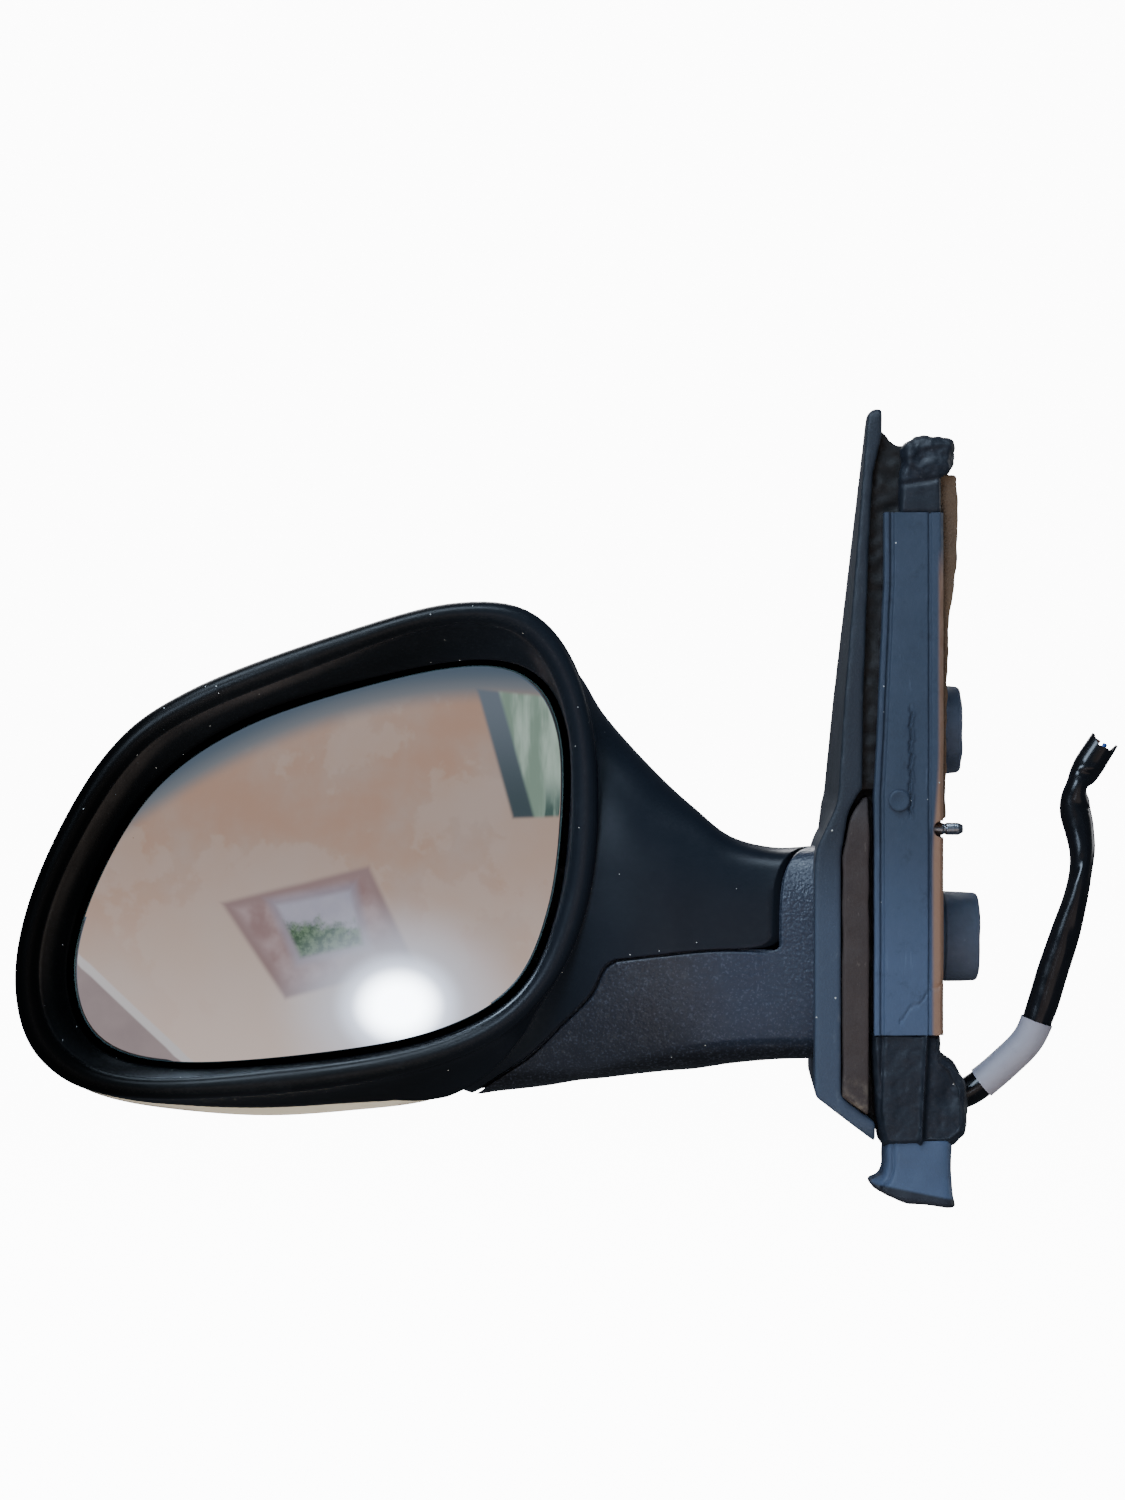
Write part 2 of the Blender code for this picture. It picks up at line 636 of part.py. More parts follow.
def stacked(name, axis, stations, finish, squareness=3.0, count=20):
    """A soft block: each station is a place on axis with the centre and the half size of its section."""
    rings = []
    for depth, centre, half in stations:
        rings.append([along(axis, a, b, depth) for a, b in squircle(centre, half, squareness, count)])
    return loft(name, rings, finish)


def build_seal_end_block(finish):
    block = stacked(
        "seal_end_block",
        "Z",
        [
            (108.4, (-4.4, -32), (7.6, 6.5)), (109.4, (-4.3, -32), (8.8, 7.8)), (118, (-4.3, -32),
            (9.0, 8.0)),
            (126, (-4.0, -32), (8.4, 8.0)), (132, (-3.2, -32), (7.6, 7.2)), (134.6, (-2.4, -32),
            (6.0, 5.6)),
        ],
        finish,
    )  # fmt: skip
    boolean(block, box("web", (-20.4, -34, 110), (-10, -30, 124)), "UNION")
    return painted(block, finish)


def build_door_foam_strip(finish):
    profile = [
        (GAP, 20), (0.9, 20), (1.5, 30), (1.7, 56), (1.9, 69), (2.6, 76), (3.8, 83), (4.7, 90),
        (4.7, 107.8),
        (GAP, 107.8),
    ]  # fmt: skip
    return prism("door_foam_strip", profile, "Y", -35, -25, finish)


def build_cable_boot(finish):
    boot = stacked(
        "cable_boot",
        "X",
        [
            (-24.6, (-23, -86), (11, 10)), (-23.4, (-23, -85.6), (13, 14)), (-16, (-23, -85.4), (14.4, 18)),
            (-4, (-23, -85.4), (14.6, 18.4)), (-1, (-23, -85.4), (13.6, 17.4)), (1.5, (-23, -86),
            (13.4, 17.6)),
            (6.6, (-22.5, -87), (11.8, 15.6)), (8.4, (-22.2, -87.6), (9, 12)),
        ],
        finish,
    )  # fmt: skip
    sleeve_end = resampled([(1.5, -22, -90.0)] + SLEEVE_ROUTE[:3], 4)[0]
    boolean(boot, cord_cutter("sleeve_hole", sleeve_end, SLEEVE_DIAMETER + 1.2))
    harness_end = resampled([(4, -22, -90.6)] + BASE_HARNESS[:5], 4)[0]
    boolean(boot, cord_cutter("harness_hole", harness_end, HARNESS_DIAMETER + 1.4))
    return painted(boot, finish)


def build_seal_lower_lip(finish):
    return stacked(
        "seal_lower_lip",
        "Z",
        [
            (-104.6, (-10, -25), (10.4, 12.5)), (-108, (-10, -25), (11.2, 13.2)),
            (-115, (-10, -25), (11.6, 13.4)),
            (-120, (-10, -25), (13.2, 14.4)), (-123.6, (-10, -25), (14, 15)), (-125, (-10, -25), (13, 14)),
        ],
        finish,
        3.6,
    )  # fmt: skip


def build_fixings(rubber, steel):
    for place, (z, radius, reach) in BUSHES.items():
        inner = 5.5 + GAP
        seat = GAP - PAD_STEP
        profile = [
            (inner, seat), (radius - 1.4, seat), (radius, seat + 1.3),
            (radius - 0.3, reach - 2.2), (radius - 2.0, reach),
            (radius - 3.4, reach - 0.9), (9.0, reach - 0.9), (8.0, reach), (inner, reach),
        ]  # fmt: skip
        turned(f"rubber_bush_{place}", "X", (0, z), profile, rubber, 20, closed=True)
        insert = [
            (3.1, -22.0), (5.5, -22.0), (5.5, reach - 0.5), (5.0, reach), (3.6, reach), (3.1, reach - 0.5),
        ]  # fmt: skip
        turned(f"threaded_insert_{place}", "X", (0, z), insert, steel, 16, closed=True)
    stud = [
        (2.7, -16.0), (2.7, -13.4), (2.1, -13.4), (2.1, 0.0), (1.8, 0.5), (1.8, 1.0), (2.1, 1.5),
        (2.1, 5.8), (1.5, 6.8),
        (0.5, 7.1),
    ]  # fmt: skip
    turned("locating_stud", "X", STUD, stud, steel, 12)


# --- Fold pivot ---------------------------------------------------------------------------------


def detent_ring(name, low, high, finish, teeth=0.0, pockets=0.0):
    """A ring with three radial teeth standing up from it, or three pockets from below."""
    ring = washer(name, "Z", PIVOT, TUBE_RADIUS + GAP, HUB_RADIUS, low, high, sides=20)
    for i in range(3):
        a = math.radians(30 + 120 * i)
        height = teeth or pockets
        wide = 3.0 if teeth else 4.2
        deep = 11.0 if teeth else 20.0
        section = [(-wide, 0), (wide, 0), (wide * 0.55, height), (-wide * 0.55, height)]
        middle = 12.1
        rings = []
        for out in (middle - deep / 3, middle + deep / 3):
            base = high - 0.4 if teeth else low - 0.4
            points = []
            for side, up in section:
                lift = base + (0 if up == 0 else up + 0.4)
                points.append(
                    (
                        PIVOT[0] + out * math.cos(a) - side * math.sin(a),
                        PIVOT[1] + out * math.sin(a) + side * math.cos(a),
                        lift,
                    )
                )
            rings.append(points)
        boolean(ring, loft("tooth", rings), "UNION" if teeth else "DIFFERENCE")
    return painted(ring, finish)


def build_fold_pivot(steel):
    profile = [
        (TUBE_BORE, -57), (9.6, -57), (9.6, -55), (TUBE_RADIUS, -55), (TUBE_RADIUS, -17),
        (TUBE_RADIUS - 0.6, -16.4),
        (TUBE_BORE, -16.4),
    ]  # fmt: skip
    turned("pivot_tube", "Z", PIVOT, profile, steel, 20, closed=True)
    detent_ring("detent_ring_lower", SEAT_Z + GAP, -43.0, steel, teeth=0.8)
    detent_ring("detent_ring_upper", -42.0, -38.5, steel, pockets=1.1)
    washer("thrust_washer", "Z", PIVOT, TUBE_RADIUS + GAP, 14.5, -33.1, -31.9, steel, 20)
    turns, steps = 3.5, 10
    low, high = -30.2, -22.5
    path = []
    for i in range(int(turns * steps) + 1):
        a = 2 * math.pi * i / steps
        climb = min(1.0, max(0.0, (i / steps - 0.4) / (turns - 0.8)))  # the end turns lie flat
        path.append(
            (PIVOT[0] + 10.9 * math.cos(a), PIVOT[1] + 10.9 * math.sin(a), low + (high - low) * climb)
        )
    cord("pivot_spring", path, 2.0, steel, roundness=1)
    nut = washer("pivot_nut", "Z", PIVOT, TUBE_RADIUS + GAP, 14.5, -21.0, -17.6, steel, 20)
    for i in range(6):
        a = 2 * math.pi * (i + 0.5) / 6
        place = (PIVOT[0] + 15.2 * math.cos(a), PIVOT[1] + 15.2 * math.sin(a))
        boolean(nut, cylinder("notch", "Z", place, 2.0, -23, -15, sides=10))
    painted(nut, steel)


def build_head_frame(finish):
    x, y, z = SWIVEL
    plate = [(x - 46, z - 36, 8), (x - 46, z + 34, 24), (x + 46, z + 36, 8), (x + 46, z - 36, 8)]
    pieces = [prism("plate", rounded(plate, 3), "Y", 45, 48)]
    stations = [  # x, rear and front y, bottom and top z
        (-172, 45, 48, -34, 8), (-158, 41, 46, -32, -2), (-140, 28, 34, -32, -8), (-122, 18, 25, -34, -14),
        (-104, 9, 17, -34.5, -20), (-91, 4, 12, -35.2, -27.5), (-87.5, 1, 10, -35.2, -30.5),
        (-85.9, 0, 9, -35.4, -33.5),
        (-80, 0, 7, -36.5, -33.5),
    ]  # fmt: skip
    rings = [[(a, b0, c0), (a, b1, c0), (a, b1, c1), (a, b0, c1)] for a, b0, b1, c0, c1 in stations]
    pieces.append(loft("beam", rings))
    pieces.append(cylinder("hub", "Z", PIVOT, HUB_RADIUS, -38.1, -33.5, sides=20))
    frame = joined("head_frame", pieces, finish)
    boolean(frame, cylinder("hub_bore", "Z", PIVOT, TUBE_RADIUS + GAP, -45, -25, sides=20))
    boolean(frame, cylinder("window", "Y", (x, z), 15, 40, 60, sides=24))
    for dx, dz in CASE_SCREWS + FRAME_SCREWS:
        boolean(frame, cylinder("screw_hole", "Y", (x + dx, z + dz), 1.85, 40, 60, sides=12))
    return painted(frame, finish)


# --- Actuator -----------------------------------------------------------------------------------


def case_outline(inset):
    h = CASE_HALF - inset
    x, y, z = SWIVEL
    r = 7 - inset
    return rounded([(x - h, z - h, r), (x - h, z + h, r), (x + h, z + h, r), (x + h, z - h, r)], 4)


def build_actuator_case(finish):
    x, y, z = SWIVEL
    front = prism("actuator_case_front", case_outline(0), "Y", CASE_FRONT_Y, CASE_SPLIT_Y)
    floor_y = CASE_FRONT_Y + CASE_WALL
    boolean(front, prism("hollow", case_outline(CASE_WALL), "Y", floor_y, CASE_SPLIT_Y + 5))
    for side in (-1, 1):
        low, high = sorted((z + side * 15.2, z + side * 19.2))
        boolean(front, box("ear", (x - 4, 1.6, low), (x + 4, CASE_FRONT_Y + 1, high)), "UNION")
    boolean(front, cylinder("trunnion_bore", "Z", (x, y), 1.6 + GAP, z - 25, z + 25, sides=14))
    boolean(front, box("pan_slot", (x - 31.6, 5, z - 3.6), (x - 23.6, 20, z + 3.6)))
    boolean(front, box("tilt_slot", (x - 3.6, 5, z - 31.6), (x + 3.6, 20, z - 23.6)))
    painted(front, finish)

    rear = prism("actuator_case_rear", case_outline(0), "Y", CASE_SPLIT_Y + GAP, CASE_BACK_Y)
    boolean(rear, prism("hollow", case_outline(CASE_WALL), "Y", CASE_SPLIT_Y - 5, CASE_BACK_Y - CASE_WALL))
    for dx, dz in CASE_SCREWS:
        boolean(rear, cylinder("boss", "Y", (x + dx, z + dz), 3.8, 31, CASE_BACK_Y - 1, sides=16), "UNION")
        boolean(rear, cylinder("bore", "Y", (x + dx, z + dz), 1.85, 33, 50, sides=12))
    boolean(rear, box("socket_hole", (x + CASE_HALF - 6, 33, z + 11), (x + CASE_HALF + 4, 41, z + 22)))
    painted(rear, finish)


def build_screw(name, place, point_y, head_y, way, finish):
    """A pan-head screw along Y. way is +1 when its head is at the larger y."""
    low, high = 1.5, 3.3
    profile = [
        (low, point_y), (low, head_y), (high, head_y), (high, head_y + way * 1.4),
        (2.2, head_y + way * 2.1),
    ]  # fmt: skip
    return turned(name, "Y", place, profile, finish, 10)


def gear_outline(teeth, turn=0.0, slack=0.16):
    """Trapezoid teeth round the pitch circle, one of them centred on the angle turn."""
    pitch = MODULE * teeth / 2
    half = (math.pi * MODULE / 2 - slack) / 2 / pitch
    outline = []
    for i in range(teeth):
        middle = turn + 2 * math.pi * i / teeth
        for share, rise in ((-1.5, -0.95), (-0.5, 0.7), (0.5, 0.7), (1.5, -0.95)):
            a = middle + share * half
            radius = pitch + rise
            outline.append((radius * math.cos(a), radius * math.sin(a)))
    return outline


def twisted(outline, turn, centre):
    c, s = math.cos(turn), math.sin(turn)
    return [(centre[0] + a * c - b * s, centre[1] + a * s + b * c) for a, b in outline]


def build_gear(name, axis, centre, start, rack_turn, worm_turn, twist, finish):
    """Shaft with the pinion that moves the rack, and the worm wheel."""
    shaft = cylinder("shaft", axis, centre, 1.6, start - 5, start + WHEEL_HIGH + 2, sides=12)
    pinion_outline = twisted(gear_outline(PINION_TEETH, rack_turn), 0, centre)
    pinion = prism("pinion", pinion_outline, axis, start - 3, start + 3)
    teeth = gear_outline(WHEEL_TEETH, worm_turn, slack=0.4)
    rings = []
    for depth, turn in ((WHEEL_LOW, -twist), (WHEEL_HIGH, twist)):
        rings.append([along(axis, a, b, start + depth) for a, b in twisted(teeth, turn, centre)])
    return joined(name, [shaft, pinion, loft("wheel", rings)], finish)


def build_worm(name, axis, centre, middle, facing, shaft_end, hand, finish):
    """A single thread round a shaft. Its groove meets the wheel at middle, on the side facing."""
    lead = math.pi * MODULE
    sides, rings = 8, []

    def ring(depth, radius):
        points = []
        for i in range(sides):
            a = 2 * math.pi * i / sides
            r = radius(a)
            points.append(along(axis, centre[0] + r * math.cos(a), centre[1] + r * math.sin(a), depth))
        rings.append(points)

    steps = 20
    for i in range(steps + 1):
        offset = (i / steps - 0.5) * 11.0
        fade = min(1.0, (5.5 - abs(offset)) / 0.9)

        def thread(a, offset=offset, fade=fade):
            phase = offset / lead - hand * (a - facing) / (2 * math.pi)
            ridge = 0.5 - 0.5 * math.cos(2 * math.pi * phase)
            return 1.75 + 1.5 * fade * ridge**1.6

        ring(middle + offset, thread)
    ring(middle + 5.5, lambda a: 1.1)
    ring(shaft_end, lambda a: 1.1)
    return loft(name, rings, finish)


def build_rod(name, place, axis, finish):
    """A slider with a ball at its front end and a rack along the side towards its pinion.

    place is x, z. axis is the direction the rack faces: 0 for +x, 1 for +z.
    """
    step = math.pi * MODULE
    outline = [(-3.0, 10.6), (2.0, 10.6)]  # across, y
    for k in range(-5, 5):
        middle = SHAFT_Y + (k + 0.5) * step
        outline += [(2.0, middle - 0.95), (3.75, middle - 0.3), (3.75, middle + 0.3), (2.0, middle + 0.95)]
    outline += [(2.0, 37.4), (-3.0, 37.4)]
    rings = []
    for side in (-3.0, 3.0):
        if axis == 0:
            rings.append([(place[0] + a, b, place[1] + side) for a, b in outline])
        else:
            rings.append([(place[0] + side, b, place[1] + a) for a, b in outline])
    bar = loft(name, rings)
    ball = [
        (0.4, 1.8), (1.9, 2.4), (2.9, 3.6), (3.2, 5.0), (2.9, 6.4), (2.0, 7.5), (1.7, 8.4), (1.9, 12.0),
    ]  # fmt: skip
    boolean(bar, turned("ball", "Y", place, ball, sides=14), "UNION")
    return painted(bar, finish)


def build_gimbal_ring(finish):
    x, y, z = SWIVEL
    ring = washer("gimbal_ring", "Y", (x, z), 10, 13.5, y - 2.5, y + 2.5, sides=20)
    for side in (-1, 1):
        low, high = sorted((side * 12, side * 19.6))
        boolean(ring, cylinder("trunnion", "Z", (x, y), 1.6, z + low, z + high, sides=14), "UNION")
        boolean(ring, cylinder("trunnion", "X", (y, z), 1.6, x + low, x + high, sides=14), "UNION")
    return painted(ring, finish)


def glass_sheet(name, front, thick, inset, finish, shares=(0.05, 0.55, 1.0)):
    """A curved sheet of the glass's outline; front is its front face's offset behind the glass's."""

    def sheet_ring(share, depth):
        y = GLASS_EDGE_Y - GLASS_SAG * (1 - share**2) + depth
        return head_ring(lambda t: (glass_radius(t) - inset) * share, fixed(y))

    rings = [sheet_ring(share, front) for share in shares]
    rings += [sheet_ring(share, front + thick) for share in shares[::-1]]
    return loft(name, rings, finish)


def build_glass_carrier(finish):
    x, y, z = SWIVEL
    carrier = glass_sheet("glass_carrier", 3.5, 2.2, 0.4, finish)
    for side in (-1, 1):
        low, high = sorted((x + side * 15.2, x + side * 19.2))
        boolean(carrier, box("ear", (low, -4.2, z - 4), (high, 8.2, z + 4)), "UNION")
    boolean(carrier, cylinder("trunnion_bore", "X", (y, z), 1.6 + GAP, x - 25, x + 25, sides=14))
    for place in ((x - ROD_ARM, z), (x, z - ROD_ARM)):
        boolean(carrier, cylinder("socket", "Y", place, 5.8, -4.0, 8.0, sides=20), "UNION")
        boolean(carrier, cylinder("socket_bore", "Y", place, 4.2, -1.2, 12, sides=20))
    return painted(carrier, finish)


def build_actuator(steel, plastic, black):
    x, y, z = SWIVEL
    build_actuator_case(black)
    pan_rod = build_rod("pan_rod", (x - ROD_ARM, z), 0, plastic)
    set_origin(pan_rod, x - ROD_ARM, y, z)
    tilt_rod = build_rod("tilt_rod", (x, z - ROD_ARM), 1, plastic)
    set_origin(tilt_rod, x, y, z - ROD_ARM)

    shaft = ROD_ARM - 3.0 - PINION_RADIUS  # from the swivel to both gear shafts
    twist = 0.048
    pan_gear = build_gear("pan_gear", "Z", (x - shaft, SHAFT_Y), z, math.pi, math.pi / 2, twist, plastic)
    set_origin(pan_gear, x - shaft, SHAFT_Y, z)
    tilt_gear = build_gear("tilt_gear", "X", (SHAFT_Y, z - shaft), x, -math.pi / 2, 0.0, twist, plastic)
    set_origin(tilt_gear, x, SHAFT_Y, z - shaft)

    middle = (WHEEL_LOW + WHEEL_HIGH) / 2
    worm = build_worm("pan_worm", "X", (WORM_Y, z + middle), x - shaft, math.pi, x - 9.5, 1, steel)
    set_origin(worm, x - shaft, WORM_Y, z + middle)
    worm = build_worm("tilt_worm", "Z", (x + middle, WORM_Y), z - shaft, -math.pi / 2, z - 9.5, 1, steel)
    set_origin(worm, x + middle, WORM_Y, z - shaft)

    def can(low, high):
        return [
            (1.1 + GAP, low), (3.0, low), (3.0, low + 1.2), (MOTOR_RADIUS - 0.6, low + 1.2),
            (MOTOR_RADIUS, low + 1.8),
            (MOTOR_RADIUS, high - 0.8), (MOTOR_RADIUS - 0.8, high), (1.1 + GAP, high),
        ]  # fmt: skip

    turned("pan_motor", "X", (WORM_Y, z + middle), can(x - 11.8, x + 13), steel, 14, closed=True)
    turned("tilt_motor", "Z", (x + middle, WORM_Y), can(z - 11.8, z + 8), steel, 14, closed=True)
    for i, (dx, dz) in enumerate(CASE_SCREWS):
        build_screw(f"actuator_screw_{i + 1}", (x + dx, z + dz), 34, 48.3, 1, steel)
    for i, (dx, dz) in enumerate(FRAME_SCREWS):
        build_screw(f"frame_screw_{i + 1}", (x + dx, z + dz), 54.0, 44.7, -1, steel)
    plug_x = x + CASE_HALF
    box("head_connector", (plug_x - 5, 33.6, z + 11.6), (plug_x + 14, 40.4, z + 21.4), black)


# --- Wiring -------------------------------------------------------------------------------------


def build_wiring(sleeve, label, wires, black):
    path, places = resampled(SLEEVE_ROUTE, 7.0)
    cord("cable_sleeve", path, SLEEVE_DIAMETER, sleeve, wall=SLEEVE_WALL, roundness=3)
    low, high = (int(np.searchsorted(places, reach)) for reach in LABEL_REACH)
    cord("cable_label", path[low : high + 1], SLEEVE_DIAMETER + 1.4, label, wall=0.4, roundness=3)
    for i, finish in enumerate(wires):
        a = 2 * math.pi * i / len(wires)
        route = beside(path, WIRE_CIRCLE * math.cos(a), WIRE_CIRCLE * math.sin(a))
        cord(f"cable_wire_{i + 1}", route, WIRE_DIAMETER, finish, roundness=1)
    cord("base_harness", resampled(BASE_HARNESS, 6.0)[0], HARNESS_DIAMETER, black)
    cord("head_harness", resampled(HEAD_HARNESS, 6.0)[0], HARNESS_DIAMETER, black)


def main():
    for old in list(bpy.data.objects):
        bpy.data.objects.remove(old)
    smooth_black = material("black_plastic", (0.012, 0.014, 0.018), 0.38)
    grained = material("grained_plastic", (0.045, 0.055, 0.075), 0.6)
    paint = material("cream_paint", (0.42, 0.38, 0.3), 0.25)
    rubber = material("rubber", (0.045, 0.06, 0.085), 0.65)
    brown_rubber = material("brown_rubber", (0.036, 0.027, 0.023), 0.85)
    foam = material("foam", (0.04, 0.03, 0.024), 0.95)
    steel = material("plated_steel", (0.62, 0.62, 0.64), 0.32, 1.0)
    zinc = material("cast_zinc", (0.42, 0.43, 0.45), 0.45, 1.0)
    acetal = material("white_acetal", (0.75, 0.74, 0.7), 0.4)
    inner_black = material("black_nylon", (0.02, 0.02, 0.022), 0.55)
    silver = material("mirror_silver", (0.85, 0.86, 0.86), 0.02, 1.0)
    tape = material("white_foam_tape", (0.7, 0.7, 0.68), 0.8)
    vinyl = material("black_vinyl", (0.008, 0.009, 0.012), 0.18)
    paper = material("grey_label", (0.36, 0.34, 0.37), 0.5)
    wires = [
        material("brown_wire", (0.16, 0.06, 0.03), 0.4),
        material("blue_wire", (0.03, 0.09, 0.35), 0.4),
        material("yellow_wire", (0.55, 0.42, 0.05), 0.4),
    ]

    build_head_housing(smooth_black)
    build_painted_cap(paint)
    build_foot_shell(grained)

    build_sail_cover(grained)
    build_base_gasket(brown_rubber)
    build_base_bracket(zinc)
    build_channel_seal(rubber)
    build_seal_end_block(rubber)
    build_door_foam_strip(foam)
    build_cable_boot(rubber)
    build_seal_lower_lip(rubber)
    build_fixings(rubber, steel)

    build_fold_pivot(steel)
    build_head_frame(zinc)
    build_actuator(steel, acetal, inner_black)
    build_gimbal_ring(acetal)
    x, y, z = SWIVEL
    for part in (
        glass_sheet("mirror_glass", 0.0, GLASS_THICK, 0.0, silver),
        glass_sheet("adhesive_pad", 2.3, 0.9, 3.0, tape),
        build_glass_carrier(inner_black),
        bpy.data.objects["gimbal_ring"],
    ):
        set_origin(part, x, y, z)
    for name in ("head_housing", "painted_cap"):
        set_origin(bpy.data.objects[name], *PIVOT, 0)
    build_wiring(vinyl, paper, wires, inner_black)
    for made in bpy.context.scene.objects:
        smooth(made)


main()
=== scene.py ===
"""Looks of the left-hand car door mirror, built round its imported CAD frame.

+X points into the door, +Y to the front of the car, +Z up, and the glass faces -Y. Shapes are worked out in
millimetres, in the frame's own coordinates, and MM turns them into metres.
"""

import json
import math

import bmesh
import bpy
import numpy as np
from mathutils import Matrix, Vector, noise


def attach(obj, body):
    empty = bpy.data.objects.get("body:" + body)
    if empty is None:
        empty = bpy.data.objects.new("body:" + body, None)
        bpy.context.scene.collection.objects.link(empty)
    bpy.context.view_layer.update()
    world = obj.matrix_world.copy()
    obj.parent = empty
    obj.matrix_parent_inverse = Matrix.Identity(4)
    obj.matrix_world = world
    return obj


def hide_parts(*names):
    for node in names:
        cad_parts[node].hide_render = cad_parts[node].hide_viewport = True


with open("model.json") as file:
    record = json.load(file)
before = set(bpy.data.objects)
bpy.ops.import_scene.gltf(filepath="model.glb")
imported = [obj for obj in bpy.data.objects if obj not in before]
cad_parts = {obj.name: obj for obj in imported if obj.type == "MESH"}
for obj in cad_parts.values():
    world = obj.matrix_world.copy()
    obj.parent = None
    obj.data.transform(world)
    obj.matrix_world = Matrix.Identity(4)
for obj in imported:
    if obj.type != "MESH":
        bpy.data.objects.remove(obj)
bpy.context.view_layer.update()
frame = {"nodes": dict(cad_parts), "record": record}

MM = 0.001

# --- Driving dimensions -------------------------------------------------------------------------

GLASS_CENTRE = np.array((-211.0, -10.5))  # x, z
GLASS_OUTLINE = [
    (-295, -46), (-286, -15), (-266, 16), (-235, 37), (-189, 52), (-155, 57.5), (-137, 51.5), (-128.5, 35),
    (-127.5, 8), (-132, -26), (-144, -52), (-169, -67), (-208, -75), (-260, -78.5), (-287, -70),
]
RIM_OUTLINE = [
    (-313, -50), (-305, -14), (-282, 27), (-253, 49), (-200, 69), (-163, 78.5), (-137, 74.5), (-121, 52),
    (-115.5, 15), (-119, -24), (-133, -54), (-160, -75), (-210, -87), (-275, -89.5), (-304, -77),
]
GLASS_CREST_Y, GLASS_RADIUS_OF_CURVE, GLASS_THICK = -8.5, 1078.0, 2.0
THROAT_GAP = 2.5  # between the glass and the housing round it
CREST_Y, CREST_LEAN = -24.0, 6.0  # the rim's crest; the hood is deeper at its upper outer corner
BACK_Y = 68.0
WALL = 2.5
PIVOT = (-70.0, 3.0)  # x, y of the upright fold axis
SEAM_RADIUS = 26.0
FOOT_PROFILE = [  # radius and height of the turned joint face between foot and head
    (15, -39), (43.5, -43.6), (46.5, -46.5), (50, -56), (58, -66), (68, -77), (78, -84), (92, -93),
]
ARM_STATIONS = [  # x, top z, bottom z, rear y, front y, squareness of the section
    (-40, -4.5, -77, -21, 27, 5.0), (-55, -5, -77.5, -19, 25, 4.8), (-70, -1, -79, -18.6, 24.6, 4.0),
    (-82, 8.5, -81, -18.6, 25.2, 3.2), (-92, 17.5, -82, -19, 29, 2.7), (-104, 30, -83.5, -18, 34, 2.6),
    (-114, 42, -85, -16, 39, 2.5), (-122, 55, -86, -14, 44, 2.4), (-134, 66, -88.3, -10, 48, 2.3),
    (-150, 64, -90.3, -6, 49, 2.2), (-158, 60, -91.2, -3, 48, 2.2), (-166, 52, -88.5, 3, 46, 2.2),
]
PASSAGE_STATIONS = [  # the hollow inside the arm
    (-43, -9, -73, -16, 22, 3.4), (-56, -8.5, -73.5, -15.5, 21.5, 3.2), (-70, -5, -75, -15, 21, 2.8),
    (-84, 5, -77, -14, 23, 2.7), (-100, 18, -78, -8, 29, 2.6), (-114, 26, -60, 6, 33, 2.5),
    (-140, 26, -48, 12, 36, 2.4),
]
HEAD_SEAM_SHIFT = 0.9  # the head's side of the joint stands back from the foot's
GROOVE = 1.9  # width of the upright groove between the arm's round end and the foot
SAIL_OUTLINE = [(-38, -106, 10), (-38, 143.5, 4), (-29, 143.5, 4), (80, -42, 22), (78, -106, 16)]
STUD = (-33.0, 2.0)  # y, z
BUSHES = {"upper": (35.5, 15.2, 8.8), "lower": (-35.5, 15.5, 14.9)}  # z, radius, reach into the door

SLEEVE_ROUTE = [  # the loom's sleeve from inside the boot to its open end
    (3.0, -22.0, -89.5), (8.0, -22.0, -87.8), (13.0, -22.4, -85.0), (21.7, -24.0, -77.5),
    (29.6, -26.0, -69.0), (34.0, -27.0, -58.5), (37.6, -27.6, -46.5), (42.0, -28.0, -33.0),
    (46.0, -27.5, -19.0), (47.8, -26.4, -7.0), (47.0, -25.2, 1.5), (45.6, -24.5, 9.0),
    (46.4, -24.2, 16.0), (49.8, -24.0, 22.5), (55.2, -24.0, 31.0),
]
SLEEVE_SECTIONS = [  # height, half width, half depth: the empty sleeve is squashed near its end
    (-95, 5.0, 5.0), (-66, 5.0, 5.0), (-55, 5.3, 4.4), (-35, 5.1, 4.1), (-22, 4.2, 4.4), (-12, 3.9, 4.5),
    (-3, 4.6, 4.3), (6, 5.3, 4.0), (12, 4.9, 4.1), (16.5, 4.0, 4.4), (20, 4.7, 4.1), (24, 5.1, 3.8),
    (33, 4.8, 3.7),
]
SLEEVE_CREASES = [  # share in or out, height, sway round the sleeve, width, the turn it faces, its spread
    (-0.16, 20.5, 2.0, 1.3, 5.0, 0.9), (0.10, 22.3, 1.6, 1.2, 5.0, 0.9), (-0.14, 10.5, -3.0, 1.4, 5.3, 0.7),
    (-0.10, -9.0, 6.0, 3.0, 4.2, 0.6), (-0.08, -30.0, -8.0, 4.0, 5.2, 0.6),
]
LABEL_REACH = (12.0, 42.0)  # along the sleeve

VIEW_CENTRE = (-127.6, 28.5)  # x, z that the camera looks at
VIEW_PLANE_Y = -20.0  # where the view is VIEW_HEIGHT high
VIEW_HEIGHT = 508.5
CAMERA_DISTANCE = 1500.0


# --- Shared helpers -----------------------------------------------------------------------------


def added(name, data):
    """A new object with this data, in the scene."""
    made = bpy.data.objects.new(name, data)
    bpy.context.scene.collection.objects.link(made)
    return made


def bell(value, centre, width):
    """1 where value is at centre, falling smoothly to 0 on both sides."""
    return np.exp(-(((value - centre) / width) ** 2))


def clamped(value, low=0.0, high=1.0):
    return min(high, max(low, value))


def build_camera():
    """Level with the part and square to its glass, from far enough to flatten the view."""
    data = bpy.data.cameras.new("camera")
    data.sensor_width = 36.0
    data.lens = data.sensor_width * CAMERA_DISTANCE / VIEW_HEIGHT
    data.clip_end = 50.0
    camera = added("camera", data)
    camera.location = Vector((VIEW_CENTRE[0], VIEW_PLANE_Y - CAMERA_DISTANCE, VIEW_CENTRE[1])) * MM
    camera.rotation_euler = (math.radians(90), 0, 0)
    bpy.context.scene.camera = camera


